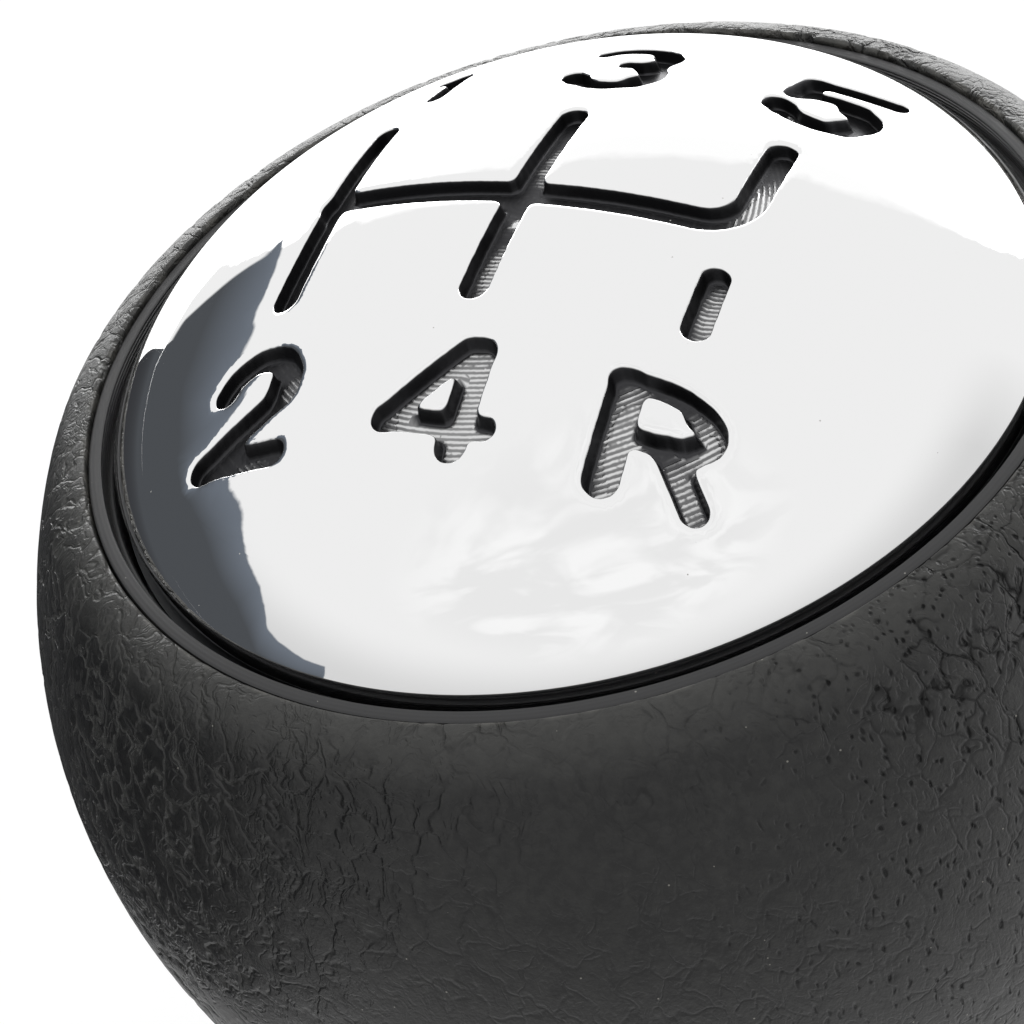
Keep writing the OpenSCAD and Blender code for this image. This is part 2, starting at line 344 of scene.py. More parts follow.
@dataclass(frozen=True)
class Dust:
    """Lone specks of dust.

    Attributes:
        colour: Colour of a speck.
        spacing: Distance between the places where a speck may lie, in millimetres.
        size: Radius of a speck, in millimetres.
        share: Share of those places that has one.
    """

    colour: str
    spacing: float
    size: float
    share: float

    def mask(self, tree: Tree, place: Socket) -> Socket:
        """Adds a mask that is 1 on a speck and 0 elsewhere.

        Args:
            tree: Tree of the material.
            place: Place in millimetres.

        Returns:
            Socket with the mask.
        """
        cells = add_node(tree, "TexVoronoi", {"Vector": place, "Scale": 1 / self.spacing})
        chance = add_node(tree, "SeparateColor", {"Color": cells.outputs["Color"]})
        tests = [
            first(tree, "Math.LESS_THAN", {0: value, 1: limit})
            for value, limit in (
                (cells.outputs["Distance"], self.size / self.spacing), (chance.outputs[0], self.share)
            )
        ]
        return first(tree, "Math.MULTIPLY", {0: tests[0], 1: tests[1]})


@dataclass(frozen=True)
class PolishedChrome(Finish):
    """Zinc die casting, polished and plated with nickel and chrome.

    To the eye it is a mirror with a faint ripple. In the engraving the colour is darkened as painted
    shade, so walls look black, and the crests of the tool marks are brightened as painted highlights.
    """

    name: str = "polished_chrome"
    bright: str = "#f8f8f8"
    polish: float = 0.025
    # Painted shade: the dark colour of the grooves' walls and floors stands in for the shade in the
    # engraving.
    raw: str = "#434345"
    recess_roughness: float = 0.42
    # Painted highlight: the pale colour of the tool marks' crests stands in for their reflection.
    crest: str = "#e6e6e6"
    crest_span: Span = (0.04, 0.7)
    dust: Dust = Dust("#b9b8b4", 0.9, 0.03, 0.3)
    dust_roughness: float = 0.6
    ripple_mm: float = 2.6
    ripple_height: float = 0.0007

    def dress(self, tree: Tree, shader: Node, place: Socket) -> None:
        """Mixes the mirror, the recess darkened as painted shade, the crests brightened as painted
        highlights, and the dust.
        """
        recess = add_node(tree, "Attribute", attribute_name="recess").outputs["Fac"]
        marked = add_node(tree, "Attribute", attribute_name="crest").outputs["Fac"]
        crest = first(tree, "MapRange", ramp(marked, self.crest_span))
        specks = self.dust.mask(tree, place)
        colour = linear(self.crest)
        for share, below, above in (
            (crest, linear(self.raw), None),
            (recess, linear(self.bright), None),
            (specks, None, linear(self.dust.colour)),
        ):
            colour = add_node(
                tree, "Mix", {0: share, 6: below or colour, 7: above or colour},
                data_type="RGBA",
            ).outputs[2]
        tree.links.new(colour, shader.inputs["Base Color"])
        dull = first(tree, "MapRange", ramp(recess, (0.0, 1.0), (self.polish, self.recess_roughness)))
        rough = first(tree, "Math.MULTIPLY_ADD", {0: specks, 1: self.dust_roughness, 2: dull})
        tree.links.new(rough, shader.inputs["Roughness"])
        metal = first(tree, "Math.SUBTRACT", {0: 1.0, 1: specks})
        tree.links.new(metal, shader.inputs["Metallic"])
        ripple = first(tree, "TexNoise", {"Vector": place, "Scale": 1 / self.ripple_mm, "Detail": 1.0})
        bump = add_node(
            tree, "Bump",
            {"Height": ripple, "Strength": 1.0, "Distance": self.ripple_height * MM},
        )
        tree.links.new(bump.outputs[0], shader.inputs["Normal"])


@dataclass(frozen=True)
class SatinBlackPlastic(Finish):
    """ABS, moulded black and turned satin: dark, with fine rings and a little dust."""

    name: str = "satin_black_abs"
    colour: str = "#262627"
    dust: Dust = Dust("#8c8a84", 0.6, 0.035, 0.35)
    roughness: float = 0.4
    ring_mm: float = 0.17
    ring_height: float = 0.004

    def dress(self, tree: Tree, shader: Node, place: Socket) -> None:
        """Turned rings as bump, and dust."""
        shader.inputs["Roughness"].default_value = self.roughness
        shader.inputs["IOR"].default_value = PLASTIC_IOR
        mix = add_node(
            tree, "Mix",
            {0: self.dust.mask(tree, place), 6: linear(self.colour), 7: linear(self.dust.colour)},
            data_type="RGBA",
        )
        tree.links.new(mix.outputs[2], shader.inputs["Base Color"])
        rings = add_node(
            tree, "TexWave",
            {"Vector": place, "Scale": WAVE_TURN / self.ring_mm, "Distortion": 0.4, "Detail": 2.0},
            wave_type="RINGS", rings_direction="Z",
        ).outputs[1]
        bump = add_node(
            tree, "Bump",
            {"Height": rings, "Strength": 1.0, "Distance": self.ring_height * MM},
        )
        tree.links.new(bump.outputs[0], shader.inputs["Normal"])


@dataclass(frozen=True)
class CreaseLayer:
    """Creases between irregular cells, which show in patches.

    Attributes:
        cell_mm: Size of a cell.
        width: Width of a crease, as a share of a cell.
        depth: Depth of a crease, in millimetres.
        patch_scale: Scale of the patches, per millimetre.
        shown: Levels of the patches' noise from none to all of the depth.
    """

    cell_mm: float
    width: float
    depth: float
    patch_scale: float
    shown: Span


@dataclass(frozen=True)
class LeatherGrain:
    """Relief of the grained skin: long creases, finer cracks, short pores and upright pits.

    The creases move the mesh, and the whole relief drives the bump. The grain runs mostly
    upwards, fades out on the smooth lip and is worn down at the front. Pits lie at the right.

    Attributes:
        stretch: Scale of creases and cracks along the lever's axis.
        drift_scale: Scale of the drift that bends them, per millimetre.
        pore_scale: Scale of the pores, per millimetre.
        pore_span: Levels of the pores' noise from full depth to none.
        pit_mm: Size of a pit's cell before it is drawn out by pit_scale.
        pit_span: Distance in a cell from a pit's bottom to its brim.
        pit_side: Place in x from no pits to all of them.
        smooth: Depth below the rim at which the lip is smooth, and at which it ends.
        lip_share: Share of the relief left on the lip at the front.
        worn_side: Side that the hand wears down.
        worn_span: Share of the ball's radius towards that side where wear starts and is full.
    """

    creases: CreaseLayer = CreaseLayer(1.25, 0.085, 0.09, 0.23, (0.36, 0.5))
    cracks: CreaseLayer = CreaseLayer(0.625, 0.1, 0.035, 0.4, (0.46, 0.6))
    pillow: float = 0.03
    stretch: float = 0.6
    drift_scale: float = 0.55
    drift_mm: float = 2.6
    pore_scale: tuple[float, float, float] = (2.6, 2.6, 0.75)
    pore_span: Span = (0.36, 0.46)
    pore_depth: float = 0.045
    pit_mm: float = 0.62
    pit_scale: tuple[float, float, float] = (1.9, 1.9, 0.62)
    pit_span: Span = (0.1, 0.34)
    pit_share: float = 0.95
    pit_side: Span = (9.5, 18.0)
    pit_depth: float = 0.07
    pit_drift_scale: float = 1.3
    pit_drift_mm: float = 0.5
    smooth: Span = (0.3, 1.9)
    lip_share: float = 0.5
    worn_side: tuple[float, float, float] = (0.42, -0.8, 0.0)
    worn_span: Span = (0.6, 0.81)
    worn_left: float = 0.2

    def height(self, tree: Tree, place: Socket, fine: bool) -> Socket:
        """Adds the relief's nodes to a material or to geometry nodes.

        Args:
            tree: Tree that gets the nodes.
            place: Place in millimetres.
            fine: Whether cracks, pores and pits are added to the creases.

        Returns:
            Socket with the height in millimetres, 0 on the flat and below 0 in a crease.
        """
        drift = add_node(
            tree, "TexNoise", {"Vector": place, "Scale": self.drift_scale, "Detail": 2.5}
        ).outputs["Color"]
        centred = first(tree, "VectorMath.SUBTRACT", {0: drift, 1: (0.5, 0.5, 0.5)})
        moved = first(tree, "VectorMath.MULTIPLY_ADD", {0: centred, 1: (self.drift_mm,) * 3, 2: place})
        total = self._layer(tree, place, moved, self.creases)
        if fine:
            for more in (self._layer(tree, place, moved, self.cracks), self._pores(tree, moved)):
                total = first(tree, "Math.ADD", {0: total, 1: more})
        grain = first(tree, "Math.MULTIPLY", {0: total, 1: self._strength(tree, place)})
        if not fine:
            return grain
        return first(tree, "Math.ADD", {0: grain, 1: self._pits(tree, place)})

    def _layer(self, tree: Tree, place: Socket, moved: Socket, layer: CreaseLayer) -> Socket:
        """Height of one layer of creases, with the skin a little domed between them.

        Args:
            tree: Tree that gets the nodes.
            place: Place in millimetres.
            moved: The place with its drift.
            layer: Sizes of the creases.

        Returns:
            Socket with the height.
        """
        tall = first(tree, "VectorMath.MULTIPLY", {0: moved, 1: (1.0, 1.0, self.stretch)})
        edge = add_node(
            tree, "TexVoronoi", {"Vector": tall, "Scale": 1 / layer.cell_mm},
            feature="DISTANCE_TO_EDGE",
        ).outputs["Distance"]
        groove = first(
            tree, "MapRange",
            ramp(edge, (0.0, layer.width), (-layer.depth, 0.0)),
            interpolation_type="SMOOTHSTEP",
        )
        patches = first(tree, "TexNoise", {"Vector": place, "Scale": layer.patch_scale, "Detail": 1.0})
        shown = first(tree, "MapRange", ramp(patches, layer.shown))
        cut = first(tree, "Math.MULTIPLY", {0: groove, 1: shown})
        swell = self.pillow * layer.cell_mm / self.creases.cell_mm
        return first(tree, "Math.MULTIPLY_ADD", {0: edge, 1: swell, 2: cut})

    def _pores(self, tree: Tree, moved: Socket) -> Socket:
        """Height of the short pores, from the place with its drift."""
        tall = first(tree, "VectorMath.MULTIPLY", {0: moved, 1: self.pore_scale})
        noise = first(tree, "TexNoise", {"Vector": tall, "Scale": 1.0, "Detail": 2.0})
        return first(
            tree, "MapRange",
            ramp(noise, self.pore_span, (-self.pore_depth, 0.0)),
            interpolation_type="SMOOTHSTEP",
        )

    def _pits(self, tree: Tree, place: Socket) -> Socket:
        """Height of the upright pits at the right, where the skin is stretched.

        Args:
            tree: Tree that gets the nodes.
            place: Place in millimetres.

        Returns:
            Socket with the height, 0 beside a pit and below 0 in it.
        """
        drift = add_node(
            tree, "TexNoise", {"Vector": place, "Scale": self.pit_drift_scale, "Detail": 1.0}
        ).outputs["Color"]
        moved = first(tree, "VectorMath.MULTIPLY_ADD", {0: drift, 1: (self.pit_drift_mm,) * 3, 2: place})
        upright = first(tree, "VectorMath.MULTIPLY", {0: moved, 1: self.pit_scale})
        cells = add_node(tree, "TexVoronoi", {"Vector": upright, "Scale": 1 / self.pit_mm})
        pit = first(
            tree, "MapRange",
            ramp(cells.outputs["Distance"], self.pit_span, (-self.pit_depth, 0.0)),
            interpolation_type="SMOOTHSTEP",
        )
        chance = add_node(tree, "SeparateColor", {"Color": cells.outputs["Color"]})
        some = first(tree, "Math.LESS_THAN", {0: chance.outputs[0], 1: self.pit_share})
        along = first(tree, "SeparateXYZ", {0: place})
        right = first(tree, "MapRange", ramp(along, self.pit_side))
        shown = first(tree, "Math.MULTIPLY", {0: some, 1: right})
        return first(tree, "Math.MULTIPLY", {0: pit, 1: shown})

    def _strength(self, tree: Tree, place: Socket) -> Socket:
        """Share of the relief that is left at a place.

        Args:
            tree: Tree that gets the nodes.
            place: Place in millimetres.

        Returns:
            Socket with the share, from 0 to 1.
        """
        parts = add_node(tree, "SeparateXYZ", {0: place})
        on_lip = first(tree, "MapRange", ramp(parts.outputs[1], (0.0, KNOB.ring_r), (self.lip_share, 1.0)))
        below_lip = first(
            tree, "MapRange",
            ramp(
                parts.outputs[2],
                (KNOB.rim_z - self.smooth[1], KNOB.rim_z - self.smooth[0]),
                (1.0, on_lip),
            ),
            interpolation_type="SMOOTHSTEP",
        )
        side = add_node(tree, "VectorMath.DOT_PRODUCT", {0: place, 1: self.worn_side}).outputs["Value"]
        worn = first(
            tree, "MapRange",
            ramp(
                side,
                (KNOB.ball_r * self.worn_span[0], KNOB.ball_r * self.worn_span[1]),
                (1.0, self.worn_left),
            ),
            interpolation_type="SMOOTHSTEP",
        )
        return first(tree, "Math.MULTIPLY", {0: below_lip, 1: worn})


GRAIN = LeatherGrain()


@dataclass(frozen=True)
class GrainedSkin(Finish):
    """TPU, moulded with a leather grain: matt black that turns grey where it is seen flat on.

    Its lip is painted paler towards the rim as a painted sheen. Its creases are painted paler at the
    left and darker at the right, the darker ones a painted shade, and more dust lies in the seam beside
    the trim ring.

    Attributes:
        crease_side: Places in x between which the creases turn from pale to painted shade.
        crease_tone: Change of tone for each millimetre of relief at those places: paler at the left,
            darker at the right as painted shade.
        paleness: Share of the paler colour below the lip.
        lip_sheen: How much of it the lip's painted sheen adds.
        lip_span: Heights from the rim between which the lip turns pale as painted sheen.
        seam_span: Distances from the trim ring over which that dust fades.
        seam_patch: Levels of noise from none of that dust to all of it.
        cavity_shade_gloss: Tint of the gloss in creases and pits, a painted shade.
        cavity_span: Heights of the relief from all of that tint to none.
        cavity_side: Places in x from none of that tint to all of it.
    """

    name: str = "leather_grained_tpu"
    colour: str = "#0f0f0f"
    # Paler tone: for the random mottle, the paler creases at the left and the lip's painted sheen.
    mottle_and_sheen: str = "#363634"
    mottle_scale: float = 2.0
    mottle_reach: float = 0.22
    # Painted shade and sheen: creases are painted darker at the right and paler at the left, and the lip
    # paler towards the rim.
    crease_side: Span = (-12.0, 6.0)
    crease_tone: Span = (-9.0, 8.0)
    paleness: float = 0.14
    lip_sheen: float = 0.62
    lip_span: Span = (-1.2, 0.1)
    dust: Dust = Dust("#77756f", 0.7, 0.035, 0.5)
    seam_dust: float = 0.4
    seam_span: Span = (0.1, 0.32)
    seam_patch: Span = (0.42, 0.62)
    seam_drop: float = 0.45
    # Painted shade: a darker gloss tint in the creases and pits at the right.
    cavity_shade_gloss: str = "#7c7c7c"
    cavity_span: Span = (-0.07, -0.02)
    cavity_side: Span = (-2.0, 8.0)
    roughness: float = 0.42
    roughness_reach: float = 0.07
    pebble_mm: float = 0.026

    def dress(self, tree: Tree, shader: Node, place: Socket) -> None:
        """Adds grain, a mottled tone, painted shade in the creases, a painted sheen on the lip, and dust.
        """
        shader.inputs["IOR"].default_value = 1.48
        shader.inputs["Sheen Weight"].default_value = 0.03
        shader.inputs["Sheen Roughness"].default_value = 0.3
        relief = GRAIN.height(tree, place, fine=True)
        parts = add_node(tree, "SeparateXYZ", {0: place})
        colour = self._mottle_shade_and_sheen(tree, place, parts, relief)
        for share in (self.dust.mask(tree, place), self._seam_share(tree, place, parts)):
            colour = add_node(
                tree, "Mix", {0: share, 6: colour, 7: linear(self.dust.colour)},
                data_type="RGBA",
            ).outputs[2]
        smudge = first(tree, "TexNoise", {"Vector": place, "Scale": 0.35, "Detail": 3.0})
        rough = first(
            tree, "MapRange",
            ramp(
                smudge,
                (0.0, 1.0),
                (self.roughness - self.roughness_reach, self.roughness + self.roughness_reach),
            ),
        )
        for name, socket in (
            ("Base Color", colour),
            ("Specular Tint", self._cavity_shade_tint(tree, parts, relief)),
            ("Roughness", rough),
            ("Normal", self._bumps(tree, place, relief)),
        ):
            tree.links.new(socket, shader.inputs[name])

    def _mottle_shade_and_sheen(self, tree: Tree, place: Socket, parts: Node, relief: Socket) -> Socket:
        """Colour between deep grain and the paler tone, without dust: a random mottle, creases paler at
        the left and darker at the right as painted shade, and a painted sheen on the lip.

        Args:
            tree: Tree of the material.
            place: Place in millimetres.
            parts: Node with the place's parts.
            relief: Height of the relief in millimetres.

        Returns:
            Socket with the colour.
        """
        mottle = first(
            tree, "TexNoise",
            {"Vector": place, "Scale": self.mottle_scale, "Detail": 5.0, "Roughness": 0.7},
        )
        spread = first(tree, "MapRange", ramp(mottle, (0.3, 0.7), (-self.mottle_reach, self.mottle_reach)))
        # Painted shade: creases turn darker at the right; at the left they turn paler.
        gain = first(tree, "MapRange", ramp(parts.outputs[0], self.crease_side, self.crease_tone))
        level = first(tree, "Math.MULTIPLY_ADD", {0: relief, 1: gain, 2: spread})
        # Painted sheen: the lip is painted paler towards the rim.
        lifted = first(
            tree, "MapRange",
            ramp(
                parts.outputs[2],
                (KNOB.rim_z + self.lip_span[0], KNOB.rim_z + self.lip_span[1]),
                (self.paleness, self.paleness + self.lip_sheen),
            ),
        )
        high = first(tree, "Math.ADD", {0: level, 1: lifted}, use_clamp=True)
        return add_node(
            tree, "Mix", {0: high, 6: linear(self.colour), 7: linear(self.mottle_and_sheen)},
            data_type="RGBA",
        ).outputs[2]

    def _seam_share(self, tree: Tree, place: Socket, parts: Node) -> Socket:
        """Share of dust in the seam beside the trim ring, in patches.

        Args:
            tree: Tree of the material.
            place: Place in millimetres.
            parts: Node with the place's parts.

        Returns:
            Socket with the share.
        """
        flat = first(tree, "CombineXYZ", {0: parts.outputs[0], 1: parts.outputs[1]})
        radius = add_node(tree, "VectorMath.LENGTH", {0: flat}).outputs["Value"]
        seam = first(
            tree, "MapRange",
            ramp(
                radius,
                (KNOB.ring_r + self.seam_span[0], KNOB.ring_r + self.seam_span[1]),
                (self.seam_dust, 0.0),
            ),
        )
        noise = first(tree, "TexNoise", {"Vector": place, "Scale": 0.9, "Detail": 3.0})
        patchy = first(tree, "MapRange", ramp(noise, self.seam_patch))
        high_up = first(tree, "Math.GREATER_THAN", {0: parts.outputs[2], 1: KNOB.rim_z - self.seam_drop})
        for limit in (patchy, high_up):
            seam = first(tree, "Math.MULTIPLY", {0: seam, 1: limit})
        return seam

    def _cavity_shade_tint(self, tree: Tree, parts: Node, relief: Socket) -> Socket:
        """Tint of the gloss, darkened as painted shade in the creases and pits of the side in open light.

        Args:
            tree: Tree of the material.
            parts: Node with the place's parts.
            relief: Height of the relief in millimetres.

        Returns:
            Socket with the tint.
        """
        # Painted shade: the gloss is tinted darker in creases and pits.
        cavity = first(tree, "MapRange", ramp(relief, self.cavity_span, (1.0, 0.0)))
        open_side = first(tree, "MapRange", ramp(parts.outputs[0], self.cavity_side))
        shaded = first(tree, "Math.MULTIPLY", {0: cavity, 1: open_side})
        return add_node(
            tree, "Mix", {0: shaded, 6: linear("#ffffff"), 7: linear(self.cavity_shade_gloss)},
            data_type="RGBA",
        ).outputs[2]

    def _bumps(self, tree: Tree, place: Socket, relief: Socket) -> Socket:
        """Normal with the relief and, on top of it, the finest texture.

        Args:
            tree: Tree of the material.
            place: Place in millimetres.
            relief: Height of the relief in millimetres.

        Returns:
            Socket with the normal.
        """
        grain = first(tree, "Bump", {"Height": relief, "Strength": 1.0, "Distance": MM})
        pebbles = first(tree, "TexNoise", {"Vector": place, "Scale": 7.0, "Detail": 3.0, "Roughness": 0.6})
        return first(
            tree, "Bump",
            {"Height": pebbles, "Strength": 1.0, "Distance": self.pebble_mm * MM, "Normal": grain},
        )


@dataclass(frozen=True)
class PlainFinish(Finish):
    """A moulded, machined or foamed finish with one fine pattern.

    Attributes:
        colour: Main colour.
        second: Colour of the pattern's other tone.
        metal: Whether the material is a metal.
        roughness: Mean roughness.
        grain_mm: Size of the pattern.
        grain_height: Height of the pattern's bump, in millimetres.
    """

    colour: str = "#404040"
    second: str = "#484848"
    metal: bool = False
    roughness: float = 0.5
    grain_mm: float = 0.4
    grain_height: float = 0.01

    def dress(self, tree: Tree, shader: Node, place: Socket) -> None:
        """Two tones of noise with their bump."""
        shader.inputs["Metallic"].default_value = 1.0 if self.metal else 0.0
        shader.inputs["Roughness"].default_value = self.roughness
        if not self.metal:
            shader.inputs["IOR"].default_value = PLASTIC_IOR
        noise = first(tree, "TexNoise", {"Vector": place, "Scale": 1 / self.grain_mm, "Detail": 3.0})
        mix = add_node(
            tree, "Mix", {0: noise, 6: linear(self.colour), 7: linear(self.second)},
            data_type="RGBA",
        )
        tree.links.new(mix.outputs[2], shader.inputs["Base Color"])
        bump = add_node(
            tree, "Bump",
            {"Height": noise, "Strength": 1.0, "Distance": self.grain_height * MM},
        )
        tree.links.new(bump.outputs[0], shader.inputs["Normal"])


# Glass filled nylon, moulded: dull, with a faint mottle.
GLASS_NYLON = PlainFinish("glass_filled_nylon", "#3c3e41", "#4a4c50", False, 0.55, 0.5, 0.012)
# Black nylon, moulded: the same in black.
BLACK_NYLON = PlainFinish("black_nylon", "#222427", "#2c2e31", False, 0.5, 0.5, 0.01)
# Polyethylene foam, cut from a sheet: soft, with open cells.
CELL_FOAM = PlainFinish("closed_cell_foam", "#303236", "#4b4d52", False, 0.95, 0.18, 0.05)
# Brass, turned and knurled: a warm metal with a fine cut.
TURNED_BRASS = PlainFinish("turned_brass", "#c9a55a", "#b8923f", True, 0.28, 0.12, 0.004)
# Steel, zinc plated and passivated: a pale, slightly blue metal.
ZINC_STEEL = PlainFinish("zinc_plated_steel", "#b9bec4", "#a3a8af", True, 0.32, 0.2, 0.003)


# The engraved pattern

@dataclass(frozen=True)
class Stroke:
    """One cutter path of the engraving.

    Attributes:
        path: Points of the centre line, in millimetres on the plate.
        width: Width of the cut.
        curved: Whether the path is a smooth curve through the points.
    """

    path: tuple[tuple[float, float], ...]
    width: float = 1.04
    curved: bool = False

    def line(self) -> np.ndarray:
        """Centre line as a chain of points."""
        points = np.array(self.path, float)
        if not self.curved:
            return points
        padded = np.vstack([2 * points[0] - points[1], points, 2 * points[-1] - points[-2]])
        share = np.linspace(0, 1, 8, endpoint=False)[:, None]
        chain = []
        for a, b, c, d in zip(padded, padded[1:], padded[2:], padded[3:]):
            bend = (c - a) * share + (2 * a - 5 * b + 4 * c - d) * share ** 2
            chain.append(b + (bend + (3 * b - 3 * c + d - a) * share ** 3) / 2)
        return np.vstack([*chain, points[-1:]])


def bend_path(x: float, y: float, radius: float, steps: int = 9) -> tuple[tuple[float, float], ...]:
    """Quarter turn from a line along x up into a line along y.

    Args:
        x: Place of the line along y.
        y: Place of the line along x.
        radius: Radius of the turn.
        steps: Number of points.

    Returns:
        The points of the turn.
    """
    angles = [math.pi / 2 * i / (steps - 1) for i in range(steps)]
    return tuple((x - radius + radius * math.sin(a), y + radius - radius * math.cos(a)) for a in angles)


class ToolMarks(Enum):
    """Direction of the cutter's marks on a groove's floor."""

    ROUND_THE_AXIS = "round"
    ACROSS = "across"


@dataclass(frozen=True)
class Groove:
    """Strokes that are cut into one connected groove."""

    name: str
    strokes: tuple[Stroke, ...]
    marks: ToolMarks = ToolMarks.ROUND_THE_AXIS
    corner: float = 0.3
    soften: float = 0.07
    margin: float = 1.0

    def box(self) -> tuple[np.ndarray, np.ndarray]:
        """Lowest and highest corner, with the margin round the strokes."""
        lines = np.vstack([s.line() for s in self.strokes])
        reach = max(s.width for s in self.strokes) / 2 + self.margin
        return lines.min(0) - reach, lines.max(0) + reach

    def distance(self, points: np.ndarray) -> np.ndarray:
        """Signed distance to the groove's edge with its corners softened, below 0 inside.

        Args:
            points: Rows of x and y.

        Returns:
            One distance a row.
        """
        turns = np.radians(np.arange(7) * 360 / 7 + 11)
        ring = [self.soften * np.array([math.cos(t), math.sin(t)]) for t in turns]
        return sum(self._plain_distance(points + step) for step in ring) / len(ring)

    def _plain_distance(self, points: np.ndarray) -> np.ndarray:
        """Signed distance to the strokes as drawn."""
        total: Optional[np.ndarray] = None
        for stroke in self.strokes:
            line = stroke.line()
            near = np.full(len(points), 1e3)
            for start, end in zip(line, line[1:]):
                along = end - start
                share = np.clip((points - start) @ along / (along @ along), 0, 1)
                near = np.minimum(near, np.hypot(*(points - start - share[:, None] * along).T))
            near -= stroke.width / 2
            if total is None:
                total = near
            else:
                round_off = np.maximum(self.corner - np.abs(total - near), 0) / self.corner
                total = np.minimum(total, near) - round_off ** 2 * self.corner / 4
        return total


# Gate of a five speed box with reverse at the lower right, and its numerals.
GROOVES = (
    Groove("gate", (
        Stroke(((-7.98, -5.15), (-8.0, -3.0), (-8.1, -0.3)), 1.08),
        Stroke(((-8.1, -0.3), (-8.22, 2.0), (-8.32, 4.75)), 0.98),
        Stroke(((0.0, -4.87), (0.0, 4.8)), 1.12),
        Stroke(((-8.1, -0.12), *bend_path(8.17, -0.12, 1.6), (8.17, 4.55)), 1.14),
    )),
    Groove("reverse", (Stroke(((8.18, -4.92), (8.18, -2.72))), ), ToolMarks.ACROSS),
    Groove("one", (
        Stroke(((-7.72, 10.3), (-7.72, 7.85)), 0.8),
        Stroke(((-8.45, 9.85), (-7.75, 10.25)), 0.6),
    )),
    Groove("two", (
        Stroke(((-9.0, -9.02), (-8.72, -8.42), (-7.9, -7.86), (-6.85, -7.9), (-6.3, -8.6),
                (-6.45, -9.4), (-7.1, -10.1), (-8.05, -10.93), (-8.98, -11.8)), 1.02, True),
        Stroke(((-6.4, -8.7), (-6.35, -9.2)), 1.3),
        Stroke(((-8.98, -11.8), (-5.9, -11.5)), 0.98),
    )),
    Groove("three", (
        Stroke(((-1.45, 11.05), (-0.9, 11.42), (-0.1, 11.56), (0.8, 11.44), (1.2, 11.1)), 0.7, True),
        Stroke(((1.22, 11.0), (1.46, 10.65), (1.35, 10.2), (1.15, 9.85)), 1.08, True),
        Stroke(((0.05, 9.76), (1.2, 9.76)), 0.7),
        Stroke(((1.15, 9.5), (1.48, 8.95), (1.5, 8.5), (1.15, 8.1)), 1.1, True),
        Stroke(((1.1, 7.9), (0.3, 7.6), (-0.5, 7.65), (-1.1, 7.95)), 0.72, True),
        Stroke(((-1.35, 8.15), (-1.6, 8.35)), 0.96),
    )),
    Groove("four", (
        Stroke(((1.24, -11.05), (1.24, -7.58)), 1.14),
        Stroke(((1.2, -7.56), (0.78, -7.5), (-1.5, -10.2)), 0.98),
        Stroke(((-1.58, -10.3), (2.25, -10.3)), 0.86),
    )),
    Groove("five", (
        Stroke(((10.4, 10.64), (7.4, 10.64)), 0.8),
        Stroke(((7.3, 10.5), (7.1, 9.4)), 1.12),
        Stroke(((7.1, 9.35), (7.9, 9.46), (8.7, 9.48), (9.4, 9.24)), 0.64, True),
        Stroke(((9.35, 9.1), (9.9, 8.55), (9.9, 8.05), (9.5, 7.5)), 1.2, True),
        Stroke(((9.5, 7.36), (8.7, 7.16), (7.8, 7.34), (7.2, 7.64)), 0.84, True),
        Stroke(((6.98, 7.9), (6.7, 8.08)), 1.04),
    )),
    Groove("reverse_letter", (
        Stroke(((6.66, -11.06), (6.66, -7.8)), 1.28),
        Stroke(((6.28, -7.5), (6.7, -7.5)), 0.5),
        Stroke(((6.5, -7.56), (7.9, -7.56), (8.8, -7.74), (9.3, -8.05)), 0.76, True),
        Stroke(((9.3, -8.12), (9.66, -8.34), (9.81, -8.7), (9.7, -9.0), (9.38, -9.24)), 0.98, True),
        Stroke(((6.9, -9.45), (9.3, -9.45)), 0.7),
        Stroke(((8.62, -9.62), (9.82, -11.14)), 1.0),
    )),
)

# Places where the floors' tool marks get painted highlights, a paler colour that stands in for
# their reflection: x, y, reach in x and y, and level.
MARK_HIGHLIGHTS = (
    (6.75, -11.5, 0.45, 0.16, 2.4), (0.1, -1.3, 0.16, 0.2, 1.9), (1.0, -0.4, 0.14, 0.16, 1.9),
    (0.6, -9.4, 2.2, 2.6, 1.23), (6.85, -9.4, 0.7, 2, 0.87), (6.75, -11.35, 0.4, 0.25, 1.4),
    (9.6, -8.7, 0.9, 1.2, 0.65), (9.3, -10.5, 1, 1.1, 0.61), (-6.15, -8.75, 0.5, 0.5, 0.58),
    (-7, -11.6, 0.7, 0.4, 0.2), (8.5, 1.3, 0.8, 1.75, 1.01), (0.3, 2.1, 0.5, 1.2, 0.43),
    (0.3, -4, 0.5, 1.4, 0.8), (0.95, -0.35, 0.2, 0.2, 0.72), (0.2, -1.4, 0.3, 0.2, 1.01),
    (8.4, -3.95, 0.5, 1.2, 0.72), (1.5, 8.5, 0.3, 0.25, 0.58), (7.3, 8, 0.2, 0.25, 0.87),
    (10.1, 7.9, 0.6, 0.2, 0.36), (10.1, 10.7, 0.5, 0.3, 0.22),
)


